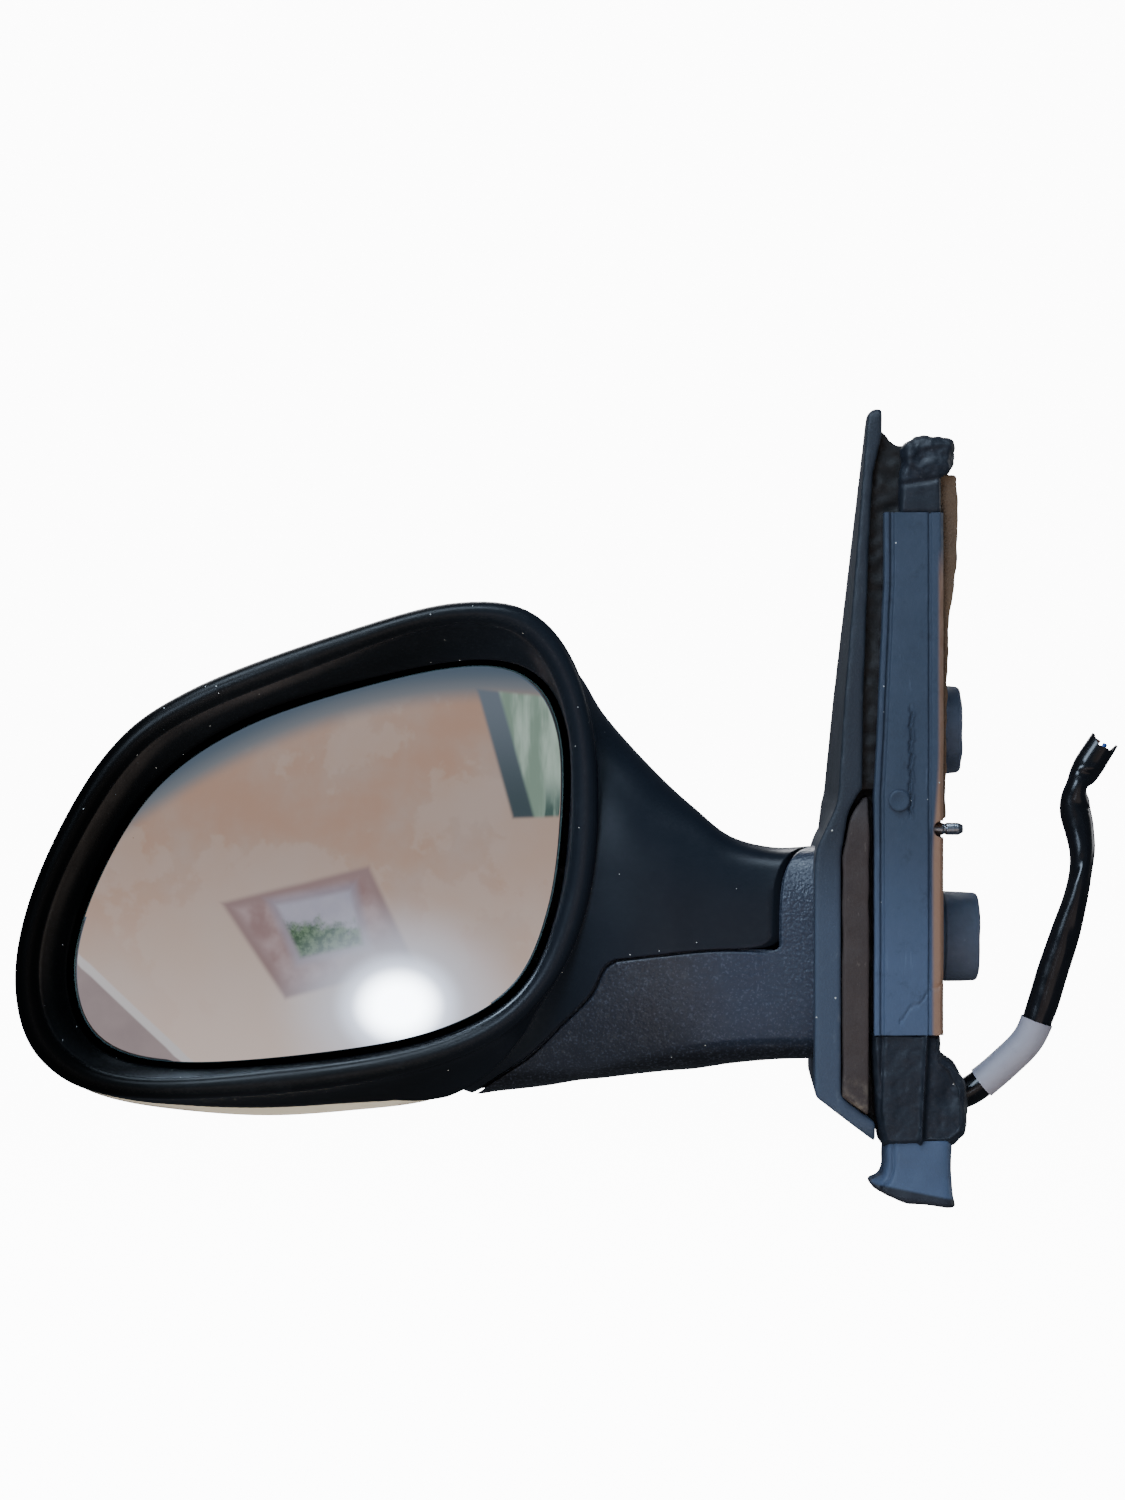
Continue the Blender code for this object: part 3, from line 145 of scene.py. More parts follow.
# --- Materials ----------------------------------------------------------------------------------


def srgb(*screen):
    """A linear colour from screen values of 0 to 255."""
    shares = [c / 255 for c in screen]
    return tuple(c / 12.92 if c <= 0.04045 else ((c + 0.055) / 1.055) ** 2.4 for c in shares)


class Finish:
    """A procedural material: its shader, and short calls that add the nodes round it."""

    def __init__(self, name):
        self.material = bpy.data.materials.new(name)
        self.material.use_nodes = True
        self.tree = self.material.node_tree
        self.shader = self.tree.nodes["Principled BSDF"]
        self.place = self.add("ShaderNodeTexCoord").outputs["Object"]

    def feed(self, socket, value):
        """Links the socket to a node's output, or sets its value."""
        if isinstance(value, bpy.types.NodeSocket):
            self.tree.links.new(value, socket)
        elif socket.type == "RGBA":
            socket.default_value = (*value, 1.0)
        else:
            socket.default_value = value

    def add(self, kind, inputs=None, **settings):
        node = self.tree.nodes.new(kind)
        for key, value in settings.items():
            setattr(node, key, value)
        for key, value in (inputs or {}).items():
            self.feed(node.inputs[key], value)
        return node

    def set(self, **values):
        for key, value in values.items():
            self.feed(self.shader.inputs[key.replace("_", " ")], value)

    def stretched(self, stretch):
        return self.add("ShaderNodeMapping", {"Vector": self.place, "Scale": stretch}).outputs[0]

    def noise(self, size, detail=3.0, roughness=0.55, stretch=(1, 1, 1)):
        """Cloudy noise from 0 to 1 whose blotches are size millimetres wide."""
        inputs = {"Vector": self.stretched(stretch), "Scale": 1 / (size * MM)}
        inputs.update({"Detail": detail, "Roughness": roughness})
        return self.add("ShaderNodeTexNoise", inputs).outputs["Fac"]

    def cells(self, size, feature="F1"):
        inputs = {"Vector": self.stretched((1, 1, 1)), "Scale": 1 / (size * MM)}
        return self.add("ShaderNodeTexVoronoi", inputs, feature=feature)

    def ramp(self, value, low, high, out_low=0.0, out_high=1.0):
        """value from low to high becomes out_low to out_high, smoothly and clamped."""
        return self.add(
            "ShaderNodeMapRange",
            {"Value": value, "From Min": low, "From Max": high, "To Min": out_low, "To Max": out_high},
            interpolation_type="SMOOTHSTEP",
        ).outputs["Result"]

    def math(self, operation, a, b=0.0):
        return self.add("ShaderNodeMath", {0: a, 1: b}, operation=operation).outputs[0]

    def sum(self, a, b):
        return self.math("ADD", a, b)

    def product(self, a, b):
        return self.math("MULTIPLY", a, b)

    def mix(self, factor, a, b):
        """Colour a where factor is 0 and b where it is 1."""
        return self.add("ShaderNodeMix", {0: factor, 6: a, 7: b}, data_type="RGBA").outputs[2]

    def axis(self, name):
        """The position along X, Y or Z, in millimetres."""
        parts = self.add("ShaderNodeSeparateXYZ", {"Vector": self.place})
        return self.math("DIVIDE", parts.outputs[name], MM)

    def bump(self, *layers, rounding=0.0):
        """Relief from layers of (height from 0 to 1, depth in millimetres). rounding softens sharp edges."""
        normal = None
        if rounding:
            normal = self.add("ShaderNodeBevel", {"Radius": rounding * MM}, samples=6).outputs[0]
        for height, depth in layers:
            inputs = {"Height": height, "Distance": depth * MM, "Strength": 1.0}
            if normal is not None:
                inputs["Normal"] = normal
            normal = self.add("ShaderNodeBump", inputs).outputs[0]
        if normal is not None:
            self.tree.links.new(normal, self.shader.inputs["Normal"])

    def specks(self, cell, share, radius=0.05):
        """1 on small dust specks in a few of the cells."""
        cells = self.cells(cell)
        draw = self.add("ShaderNodeSeparateColor", {"Color": cells.outputs["Color"]}).outputs[0]
        small = self.math("LESS_THAN", cells.outputs["Distance"], radius)
        return self.product(self.math("GREATER_THAN", draw, 1 - share), small)

    def begin(self, clouds, dark, light):
        """The base colour, from the screen colour dark to light as clouds goes from 0 to 1."""
        self.colour = self.mix(clouds, srgb(*dark), srgb(*light))

    def lay(self, mask, colour):
        """A linear colour where mask is 1."""
        self.colour = self.mix(mask, self.colour, colour)

    def over(self, mask, screen, share=None):
        """A screen colour where mask is 1, or only a share of it."""
        self.lay(mask if share is None else self.product(mask, share), srgb(*screen))

    def uneven(self, size, detail, low, high, top=0.8):
        """A roughness that wanders between low and high."""
        return self.ramp(self.noise(size, detail), 0.3, top, low, high)

    def done(self, roughness, *layers, rounding=0.0, **values):
        """Sets the colour, the roughness, the relief and any other values on the shader."""
        self.set(Base_Color=self.colour, Roughness=roughness, **values)
        self.bump(*layers, rounding=rounding)
        return self.material


def smooth_black_plastic():
    """Black plastic, with a painted bluish sheen on the arm and painted shade, blackest, round the glass's
    outer end.
    """
    f = Finish("smooth_black_plastic")
    f.begin(f.noise(45, 4), (10, 11, 12), (17, 18, 20))
    f.over(f.ramp(f.noise(9, 5, 0.65), 0.52, 0.75), (30, 32, 36), 0.3)
    # Painted sheen: lighter and bluer towards the arm's door end, standing in for light on it.
    f.over(f.ramp(f.axis("X"), -190, -110, 0.0, 0.5), (30, 36, 46))
    # Painted shade: near black towards the glass's outer end, where the hood's inner wall sits in shade; its
    # gloss drops there too.
    f.over(f.ramp(f.axis("X"), -240, -290), (4, 4, 4))
    f.over(f.specks(4.5, 0.4, 0.045), (205, 205, 200))
    gloss = f.ramp(f.axis("X"), -290, -235, 0.05, 0.22)
    relief = (f.noise(0.45, 2), 0.02), (f.noise(6, 2), 0.02)
    return f.done(f.uneven(14, 5, 0.3, 0.4, 0.75), *relief, rounding=0.7, Specular_IOR_Level=gloss)


def grained_black_plastic():
    """The foot's coarse grain, with a crease that curves along its lower edge, painted shade below the
    crease, a painted bluish sheen towards the door and painted glints.
    """
    f = Finish("grained_black_plastic")
    crease_x, crease_z, bow = -52.0, -70.0, 0.0024
    path = f.product(f.math("POWER", f.sum(f.axis("X"), -crease_x), 2.0), bow)
    height = f.sum(f.axis("Z"), -crease_z)
    f.begin(f.noise(30, 4), (26, 28, 34), (40, 43, 51))
    f.over(f.ramp(f.noise(4, 6, 0.7), 0.55, 0.78), (92, 95, 98), 0.25)
    # Painted sheen: bluer and lighter towards the door end, standing in for light on it.
    f.over(f.ramp(f.axis("X"), -95, -62, 0.0, 0.5), (36, 48, 68))
    # Painted shade: near black below the crease, along the foot's underside.
    f.over(f.ramp(f.sum(height, f.math("MINIMUM", path, 11.0)), 1.5, -4, 0.0, 0.92), (13, 13, 15))
    # Painted glints: small pale bluish flecks standing in for light catching the grain.
    f.over(f.ramp(f.noise(0.7, 2, 0.4), 0.56, 0.68), (98, 106, 124), 0.2)
    f.over(f.specks(6, 0.3, 0.04), (200, 198, 190))
    crease = f.product(f.ramp(f.sum(height, path), -1.5, 1.0), f.ramp(f.axis("X"), -96, -78))
    grain = f.cells(0.95, "SMOOTH_F1").outputs["Distance"]
    relief = (crease, 0.9), (grain, 0.2), (f.noise(0.4, 2), 0.05)
    return f.done(f.uneven(10, 5, 0.3, 0.45, 0.75), *relief, rounding=0.9, Specular_IOR_Level=0.6)


def sail_plastic():
    """The sail cover's finer grain, paler and bluer towards the bottom."""
    f = Finish("sail_plastic")
    f.begin(f.noise(35, 4), (26, 30, 37), (38, 44, 53))
    # Paler and bluer towards the bottom.
    f.over(f.ramp(f.axis("Z"), 6, -34), (54, 63, 78))
    f.over(f.ramp(f.noise(5, 6, 0.7, (1, 1, 0.35)), 0.58, 0.8), (110, 116, 122), 0.4)
    f.over(f.specks(6, 0.3, 0.05), (190, 190, 185))
    relief = (f.cells(0.55, "SMOOTH_F1").outputs["Distance"], 0.06), (f.noise(0.4, 2), 0.03)
    return f.done(f.uneven(8, 5, 0.46, 0.62, 0.75), *relief, rounding=0.9, Specular_IOR_Level=0.45)


def body_paint():
    """Cream paint under clear lacquer."""
    f = Finish("body_paint")
    f.begin(f.noise(60, 3), (232, 219, 194), (238, 227, 204))
    f.over(f.ramp(f.noise(3, 6, 0.7), 0.6, 0.85), (130, 122, 106), 0.25)
    f.over(f.specks(9, 0.35, 0.05), (70, 64, 56))
    f.set(Coat_Weight=1.0, Coat_Roughness=0.06, Specular_IOR_Level=0.5)
    relief = (f.noise(1.6, 2), 0.006), (f.noise(0.15, 1), 0.002)
    return f.done(f.uneven(12, 4, 0.3, 0.42), *relief, rounding=0.5)


def seal_rubber():
    """Grey-blue rubber with a dull bloom, upright scratches, brown dust at the door's side and painted shade
    along the lip's lower edge.
    """
    f = Finish("seal_rubber")
    f.begin(f.noise(22, 5, 0.6, (1, 1, 0.4)), (40, 48, 61), (56, 67, 84))
    f.over(f.ramp(f.axis("Z"), 10, -50), (64, 77, 99))
    f.over(f.ramp(f.noise(2.2, 4, 0.6, (1, 1, 0.12)), 0.6, 0.8), (98, 112, 134), 0.35)
    f.over(f.ramp(f.noise(7, 6, 0.7), 0.55, 0.8), (30, 36, 46), 0.5)
    dust_start = f.ramp(f.axis("Z"), -10, 30, -4.0, -1.9)
    dust = f.ramp(f.math("SUBTRACT", f.axis("X"), dust_start), -0.5, 1.2)
    reach = f.product(f.ramp(f.axis("Z"), -70, -66), f.ramp(f.axis("Z"), 98, 84))
    f.over(f.product(dust, reach), (128, 97, 76), 0.95)
    # Painted shade: a dark band along the lower lip's turned-out edge.
    hem = f.sum(f.axis("Z"), f.product(f.sum(f.axis("X"), 21.0), 0.2))
    f.over(f.ramp(hem, -116.6, -117.8), (30, 31, 38))
    f.over(f.specks(5, 0.35, 0.05), (176, 178, 178))
    relief = (f.noise(0.5, 3), 0.05), (f.noise(4, 4, 0.6, (1, 1, 0.3)), 0.12)
    return f.done(f.uneven(6, 5, 0.52, 0.78), *relief, rounding=0.6, Specular_IOR_Level=0.4)


def moulded_rubber(name="moulded_rubber", dark=(58, 65, 79), light=(84, 92, 110)):
    """Rubber with pale residue in places."""
    f = Finish(name)
    f.begin(f.noise(12, 5), dark, light)
    f.over(f.ramp(f.noise(2.4, 6, 0.7), 0.64, 0.78), (118, 126, 140), 0.45)
    f.over(f.specks(5, 0.3, 0.05), (170, 170, 170))
    relief = (f.noise(0.6, 3), 0.06), (f.noise(5, 3), 0.15)
    return f.done(f.uneven(5, 5, 0.45, 0.7), *relief, rounding=0.6, Specular_IOR_Level=0.45)


def gasket_rubber():
    """Brown rubber, scuffed up and down and dusty at its foot."""
    f = Finish("gasket_rubber")
    f.begin(f.noise(15, 5), (47, 40, 39), (66, 57, 54))
    f.over(f.ramp(f.noise(3.0, 6, 0.75, (1, 1, 0.3)), 0.6, 0.76), (128, 118, 108), 0.55)
    dusty = f.product(f.ramp(f.axis("Z"), -78, -92), f.ramp(f.noise(4.5, 6, 0.7), 0.42, 0.75))
    f.over(dusty, (128, 116, 102), 0.6)
    relief = (f.noise(0.45, 3), 0.08), (f.noise(3, 4), 0.15)
    return f.done(f.uneven(6, 5, 0.6, 0.85), *relief, rounding=0.6, Specular_IOR_Level=0.3)


def closed_foam():
    f = Finish("closed_foam")
    pores = f.cells(0.7).outputs["Distance"]
    f.begin(f.noise(9, 6, 0.65, (1, 1, 0.4)), (66, 54, 45), (104, 83, 64))
    relief = (pores, 0.15), (f.noise(3, 4), 0.3)
    return f.done(f.ramp(pores, 0.0, 0.8, 0.8, 0.95), *relief, Specular_IOR_Level=0.25)


def mirror_silver():
    """Silvered glass with a thin film of wiped dirt."""
    f = Finish("mirror_silver")
    wiped = f.ramp(f.noise(7, 5, 0.6, (0.25, 1, 1)), 0.55, 0.8)
    film = f.product(f.ramp(f.noise(26, 6, 0.62), 0.45, 0.72), wiped)
    f.colour = f.mix(f.product(film, 0.25), (0.86, 0.875, 0.88), (0.80, 0.80, 0.79))
    f.lay(f.specks(13, 0.35, 0.035), (0.16, 0.15, 0.14))
    return f.done(f.ramp(film, 0.0, 1.0, 0.012, 0.085), Metallic=1.0)


def glass_edge():
    f = Finish("glass_edge")
    f.begin(f.noise(6, 4), (40, 60, 62), (86, 110, 112))
    return f.done(f.uneven(2, 4, 0.1, 0.35), (f.noise(0.6, 3), 0.03), Specular_IOR_Level=0.6)


def sleeve_vinyl():
    f = Finish("sleeve_vinyl")
    f.begin(f.noise(12, 4), (9, 10, 12), (19, 20, 24))
    f.over(f.ramp(f.noise(1.8, 6, 0.7), 0.62, 0.8), (92, 92, 92), 0.2)
    relief = (f.noise(6, 2), 0.03), (f.noise(0.5, 2), 0.003)
    return f.done(f.uneven(5, 5, 0.14, 0.3), *relief, Specular_IOR_Level=0.4)


def wrapped_label():
    f = Finish("wrapped_label")
    f.begin(f.noise(8, 5), (133, 130, 140), (153, 150, 159))
    f.over(f.ramp(f.noise(3.5, 6, 0.7), 0.55, 0.8), (113, 110, 113), 0.5)
    relief = (f.noise(1.2, 3), 0.03), (f.noise(0.25, 2), 0.008)
    return f.done(f.uneven(4, 5, 0.38, 0.6), *relief, Specular_IOR_Level=0.45)


def plated_steel():
    f = Finish("plated_steel")
    f.begin(f.noise(3, 5), (128, 134, 142), (190, 196, 204))
    f.over(f.ramp(f.noise(1.6, 6, 0.7), 0.6, 0.8), (104, 96, 88), 0.5)
    return f.done(f.uneven(1.2, 5, 0.22, 0.5), (f.noise(0.4, 3), 0.03), rounding=0.25, Metallic=1.0)


def cast_zinc():
    f = Finish("cast_zinc")
    f.begin(f.noise(9, 5), (116, 119, 122), (150, 152, 154))
    f.over(f.ramp(f.noise(2.5, 6, 0.7), 0.5, 0.8), (92, 92, 92), 0.6)
    relief = (f.noise(0.7, 4), 0.08), (f.noise(6, 3), 0.1)
    return f.done(f.uneven(2, 5, 0.42, 0.68), *relief, rounding=0.5, Metallic=0.85)


def moulded(name, dark, light, rough=(0.3, 0.45)):
    """Plain moulded plastic with a satin skin."""
    f = Finish(name)
    f.begin(f.noise(12, 4), dark, light)
    relief = (f.noise(0.5, 3), 0.02), (f.noise(3, 3), 0.02)
    return f.done(f.uneven(4, 5, *rough), *relief, rounding=0.3, Specular_IOR_Level=0.45)


FINISHES = {
    "black_plastic": smooth_black_plastic(),
    "cream_paint": body_paint(),
    "grained_plastic": grained_black_plastic(),
    "brown_rubber": gasket_rubber(),
    "cast_zinc": cast_zinc(),
    "rubber": moulded_rubber(),
    "foam": closed_foam(),
    "plated_steel": plated_steel(),
    "white_acetal": moulded("white_acetal", (218, 216, 208), (232, 230, 224), (0.35, 0.5)),
    "black_nylon": moulded("black_nylon", (20, 20, 22), (34, 34, 37), (0.45, 0.65)),
    "white_foam_tape": moulded("white_foam_tape", (196, 195, 190), (214, 213, 208), (0.7, 0.9)),
    "mirror_silver": mirror_silver(),
    "black_vinyl": sleeve_vinyl(),
    "grey_label": wrapped_label(),
    "brown_wire": moulded("brown_wire", (92, 52, 32), (112, 66, 42)),
    "blue_wire": moulded("blue_wire", (38, 70, 140), (50, 86, 160)),
    "yellow_wire": moulded("yellow_wire", (176, 146, 42), (196, 168, 60)),
}
SAIL_FINISH = sail_plastic()
SEAL_FINISH = seal_rubber()
DARK_RUBBER = moulded_rubber("dark_rubber", (16, 20, 27), (30, 35, 44))
# Near-black rubber for the webs in the recesses: painted shade, darker than the rubber is.
RECESS_SHADE_FINISH = moulded("recess_shade_rubber", (13, 12, 12), (24, 21, 20), (0.6, 0.85))
EDGE_FINISH = glass_edge()


# --- Shape helpers ------------------------------------------------------------------------------


def spline(points, steps, closed=False):
    """A smooth curve through points of any dimension (Catmull-Rom), with steps samples a span."""
    p = np.array(points, float)
    last = len(p) if closed else len(p) - 1
    share = np.arange(steps)[:, None] / steps
    samples = []
    for i in range(last):
        if closed:
            a, b, c, d = (p[(i + k) % len(p)] for k in (-1, 0, 1, 2))
        else:
            b, c = p[i], p[i + 1]
            a = p[i - 1] if i else 2 * b - c
            d = p[i + 2] if i + 2 < len(p) else 2 * c - b
        square = (2 * a - 5 * b + 4 * c - d) * share**2
        cube = (3 * b - a - 3 * c + d) * share**3
        samples.append((2 * b + (c - a) * share + square + cube) / 2)
    if not closed:
        samples.append(p[-1:])
    return np.concatenate(samples)


def mesh_piece(name, points, faces):
    mesh = bpy.data.meshes.new(name)
    mesh.from_pydata([tuple(p) for p in np.array(points, float) * MM], [], faces)
    shaped = bmesh.new()
    shaped.from_mesh(mesh)
    bmesh.ops.recalc_face_normals(shaped, faces=shaped.faces)
    shaped.to_mesh(mesh)
    shaped.free()
    return added(name, mesh)


def loft(name, rings, closed=False):
    """A solid through rings of equally many points, capped at both ends, or joined end to start if closed."""
    count = len(rings[0])
    faces = []
    for i in range(len(rings) if closed else len(rings) - 1):
        here, there = i * count, (i + 1) % len(rings) * count
        for j in range(count):
            k = (j + 1) % count
            faces.append((here + j, here + k, there + k, there + j))
    if not closed:
        faces.append(tuple(range(count)))
        faces.append(tuple((len(rings) - 1) * count + j for j in range(count)))
    return mesh_piece(name, np.concatenate([np.array(r, float) for r in rings]), faces)


def along(axis, a, b, depth):
    """A point whose coordinate on axis is depth and whose other two, in X, Y, Z order, are a and b."""
    point = [a, b]
    point.insert("XYZ".index(axis), depth)
    return point


def prism(name, outline, axis, low, high):
    ends = []
    for end in (low, high):
        ends.append([along(axis, a, b, end(a, b) if callable(end) else end) for a, b in outline])
    return loft(name, ends)


def circle(radius, centre=(0, 0), sides=48):
    angles = [2 * math.pi * i / sides for i in range(sides)]
    return [(centre[0] + radius * math.cos(t), centre[1] + radius * math.sin(t)) for t in angles]


def cylinder(name, axis, centre, radius, low, high, sides=48):
    return prism(name, circle(radius, centre, sides), axis, low, high)


def turned(name, axis, centre, profile, sides=96, closed=False):
    """A turned solid: profile is (radius, place along axis). A closed profile makes a ring with a hole."""
    rings = []
    for radius, depth in profile:
        rings.append([along(axis, a, b, depth) for a, b in circle(radius, centre, sides)])
    return loft(name, rings, closed)


def box(name, low, high):
    outline = [(low[0], low[1]), (high[0], low[1]), (high[0], high[1]), (low[0], high[1])]
    return prism(name, outline, "Z", low[2], high[2])


def rounded(corners, steps=10):
    """A polygon whose corners, given as (a, b, radius), are arcs."""
    outline = []
    for i, (a, b, radius) in enumerate(corners):
        here = Vector((a, b))
        before = (Vector(corners[i - 1][:2]) - here).normalized()
        after = (Vector(corners[(i + 1) % len(corners)][:2]) - here).normalized()
        if radius <= 0:
            outline.append((a, b))
            continue
        half = before.angle(after) / 2
        centre = here + (before + after).normalized() * (radius / math.sin(half))
        start = here + before * (radius / math.tan(half)) - centre
        end = here + after * (radius / math.tan(half)) - centre
        sweep = start.angle_signed(end)
        for k in range(steps + 1):
            spoke = start.copy()
            spoke.rotate(Matrix.Rotation(-sweep * k / steps, 2))
            outline.append(tuple(centre + spoke))
    return outline


def baked(piece):
    """Replaces a piece's mesh by what its modifiers make of it."""
    graph = bpy.context.evaluated_depsgraph_get()
    mesh = bpy.data.meshes.new_from_object(piece.evaluated_get(graph))
    piece.modifiers.clear()
    piece.data = mesh
    return piece


def tidied(piece, merge=0.003):
    """Joins points that lie on each other and triangulates, so that every face is flat."""
    shaped = bmesh.new()
    shaped.from_mesh(piece.data)
    bmesh.ops.remove_doubles(shaped, verts=shaped.verts, dist=merge * MM)
    bmesh.ops.dissolve_degenerate(shaped, edges=shaped.edges, dist=merge * MM)
    bmesh.ops.triangulate(shaped, faces=[f for f in shaped.faces if len(f.verts) > 3])
    shaped.to_mesh(piece.data)
    shaped.free()
    return piece


def boolean(target, tool, operation="DIFFERENCE"):
    """Applies tool to target and removes it."""
    tidied(target)
    tidied(tool)
    modifier = target.modifiers.new(operation.lower(), "BOOLEAN")
    modifier.operation = operation
    modifier.object = tool
    baked(target)
    bpy.data.objects.remove(tool)
    return tidied(target)


def softened(piece, voxel, rounds=6):
    """Remeshed in small voxels and smoothed, which rounds every edge and blends every joint."""
    remesh = piece.modifiers.new("remesh", "REMESH")
    remesh.mode = "VOXEL"
    remesh.voxel_size = voxel * MM
    smooth = piece.modifiers.new("smooth", "SMOOTH")
    smooth.iterations = rounds
    smooth.factor = 0.5
    return baked(piece)


def pushed(piece, shift):
    """Moves every point, in millimetres, by what shift says for its place and normal."""
    mesh = piece.data
    normals = [v.normal.copy() for v in mesh.vertices]
    for v, normal in zip(mesh.vertices, normals):
        v.co += shift(v.co / MM, normal) * MM
    return piece


def lumps(size, height, seed=0.0):
    """A shift along the normal that makes soft lumps."""

    def shift(place, normal):
        return normal * (height * noise.noise(place / size + Vector((seed, seed, seed))))

    return shift


def shown(piece, sharp, body, slot, *nodes, finish=None):
    """The finished piece: its shading, its material, the body it rides on and the CAD nodes it stands for.

    It is smooth but for edges of more than sharp degrees, and flat all over if sharp is 0.
    """
    if sharp:
        piece.data.shade_smooth()
        piece.data.set_sharp_from_angle(angle=math.radians(sharp))
    piece.data.materials.clear()
    piece.data.materials.append(finish or FINISHES[slot])
    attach(piece, body)
    if nodes:
        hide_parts(*nodes)
    return piece


# --- Cable stub ---------------------------------------------------------------------------------


def resampled(route, step):
    """Even steps along a smooth curve through route, and how far along it each lies."""
    fine = spline(route, 24)
    length = np.concatenate([[0], np.cumsum(np.linalg.norm(np.diff(fine, axis=0), axis=1))])
    places = np.linspace(0, length[-1], max(3, round(length[-1] / step) + 1))
    return np.stack([np.interp(places, length, fine[:, k]) for k in range(3)], axis=1), places


def frames_along(points):
    """At each point of the route: its way, the direction across the view, and the direction of depth."""
    ways = np.gradient(points, axis=0)
    ways /= np.linalg.norm(ways, axis=1)[:, None]
    across = np.cross(ways, (0.0, -1.0, 0.0))
    across /= np.linalg.norm(across, axis=1)[:, None]
    return ways, across, np.cross(ways, across)


def sleeve_half_sizes(z):
    """Half width and half depth of the sleeve at height z."""
    table = np.array(SLEEVE_SECTIONS)
    fine = spline(table, 8)
    return np.interp(z, fine[:, 0], fine[:, 1]), np.interp(z, fine[:, 0], fine[:, 2])


def sleeve_creases(z, turn):
    """The sleeve's share of its full size at height z and at each angle turn."""
    share = np.ones(len(turn))
    for centre in (0.1, 0.1 + 2 * np.pi):
        share -= 0.42 * bell(z, 16.0, 2.0) * bell(turn, centre, 0.55)
    for depth, height, sway, width, centre, spread in SLEEVE_CREASES:
        share += depth * bell(z - sway * np.cos(turn), height, width) * bell(turn, centre, spread)
    return share


def sleeve_tear(turn):
    """How far the torn end stands out at each angle."""
    tear = 2.4 * bell(turn, 3.05, 0.9) + 0.35 * np.sin(5 * turn + 1.0) - 1.4
    for centre in (0.12, 0.12 + 2 * np.pi):
        tear += 2.8 * bell(turn, centre, 0.42)
    return tear


def build_sleeve():
    """The empty vinyl sleeve: round in the boot, squashed and creased further up, torn open at its end."""
    route, places = resampled(SLEEVE_ROUTE, 0.9)
    ways, across, depth = frames_along(route)
    sides, wall, torn_part = 72, 0.8, 7.0
    turn = 2 * np.pi * np.arange(sides) / sides
    outer, inner = [], []
    for i, point in enumerate(route):
        wide, deep = sleeve_half_sizes(point[2])
        share = sleeve_creases(point[2], turn)
        near_end = clamped(1 - (places[-1] - places[i]) / torn_part) ** 2
        torn = np.outer(near_end * sleeve_tear(turn), ways[i])
        for ring, scale in ((outer, 1.0), (inner, 1 - wall / max(wide, deep))):
            a = wide * np.cos(turn) * share * scale
            b = deep * np.sin(turn) * share * scale
            ring.append(point + np.outer(a, across[i]) + np.outer(b, depth[i]) + torn)
    sleeve = loft("cable_sleeve_vinyl", outer + inner[::-1], closed=True)
    return shown(sleeve, 50, "base", "black_vinyl", "cable_sleeve"), route, places


def build_label(route, places):
    """A blank paper label wrapped once and a little more round the sleeve."""
    across, depth = frames_along(route)[1:]
    picked = [i for i in range(len(places)) if LABEL_REACH[0] <= places[i] <= LABEL_REACH[1]]
    steps, overlap = 80, 0.55
    turn = np.linspace(0, 2 * np.pi + overlap, steps) - 0.9
    rings = []
    for end, i in enumerate(picked):
        wide, deep = sleeve_half_sizes(route[i][2])
        edge = min(end, len(picked) - 1 - end)
        lift = 0.22 + 0.28 * (turn - turn[0]) / (turn[-1] - turn[0]) + 0.10 * math.exp(-edge / 1.2)
        a = np.outer((wide + lift) * np.cos(turn), across[i])
        b = np.outer((deep + lift) * np.sin(turn), depth[i])
        rings.append(route[i] + a + b)
    faces = []
    for here in range(0, (len(rings) - 1) * steps, steps):
        faces += [(here + j, here + j + 1, here + steps + j + 1, here + steps + j) for j in range(steps - 1)]
    label = mesh_piece("cable_label_wrap", np.concatenate(rings), faces)
    shell = label.modifiers.new("thickness", "SOLIDIFY")
    shell.thickness = 0.14 * MM
    shell.offset = 1.0
    return shown(baked(label), 50, "base", "grey_label", "cable_label")


def build_cable():
    sleeve, route, places = build_sleeve()
    label = build_label(route, places)


# --- Head shells --------------------------------------------------------------------------------

HEAD_STEPS = 200
TURNS = 2 * np.pi * np.arange(HEAD_STEPS) / HEAD_STEPS


def polar(outline, turns):
    """The outline's distance from the glass's centre at each of the angles turns."""
    fine = spline(outline, 48, closed=True) - GLASS_CENTRE
    angles = np.arctan2(fine[:, 1], fine[:, 0]) % (2 * np.pi)
    order = np.argsort(angles)
    radii = np.hypot(fine[:, 0], fine[:, 1])
    return np.interp(turns % (2 * np.pi), angles[order], radii[order], period=2 * np.pi)


GLASS_RADIUS = polar(GLASS_OUTLINE, TURNS)
RIM_RADIUS = polar(RIM_OUTLINE, TURNS)
CREST = CREST_Y - CREST_LEAN * np.cos(TURNS - math.radians(135))
BELLY = 9.0 * np.maximum(0, np.cos(TURNS + math.radians(95))) ** 4  # the back hangs below the rim
CHIN = 8.0 * bell(TURNS, math.radians(302), math.radians(20))  # most of all towards the arm
BULGE = BELLY + CHIN
CAP_HIDDEN = np.interp(TURNS, np.radians([288, 299, 350, 359]), [0, 1, 1, 0])  # 1 behind the foot
CAP_SHARE = 0.68  # of the belly that the cap's front edge follows in sight
CAP_EDGE = RIM_RADIUS + (CAP_SHARE + (1 - CAP_SHARE) * CAP_HIDDEN) * BELLY + CHIN
THROAT = GLASS_RADIUS + THROAT_GAP
BEAD = np.minimum(4.6, (RIM_RADIUS - THROAT - 0.4) / 2)
HOOD = RIM_RADIUS - 2 * BEAD  # where the bead's inner side meets the hood's wall
TUNNEL = THROAT + 0.55 * (HOOD - THROAT)
TUNNEL_Y = 0.42 * (CREST + 11.0)  # from the throat forward to the tunnel's middle
WEB = RIM_RADIUS - 5.5  # the inside of the bowl's wall beside the web
DOME_START_Y = 1.0


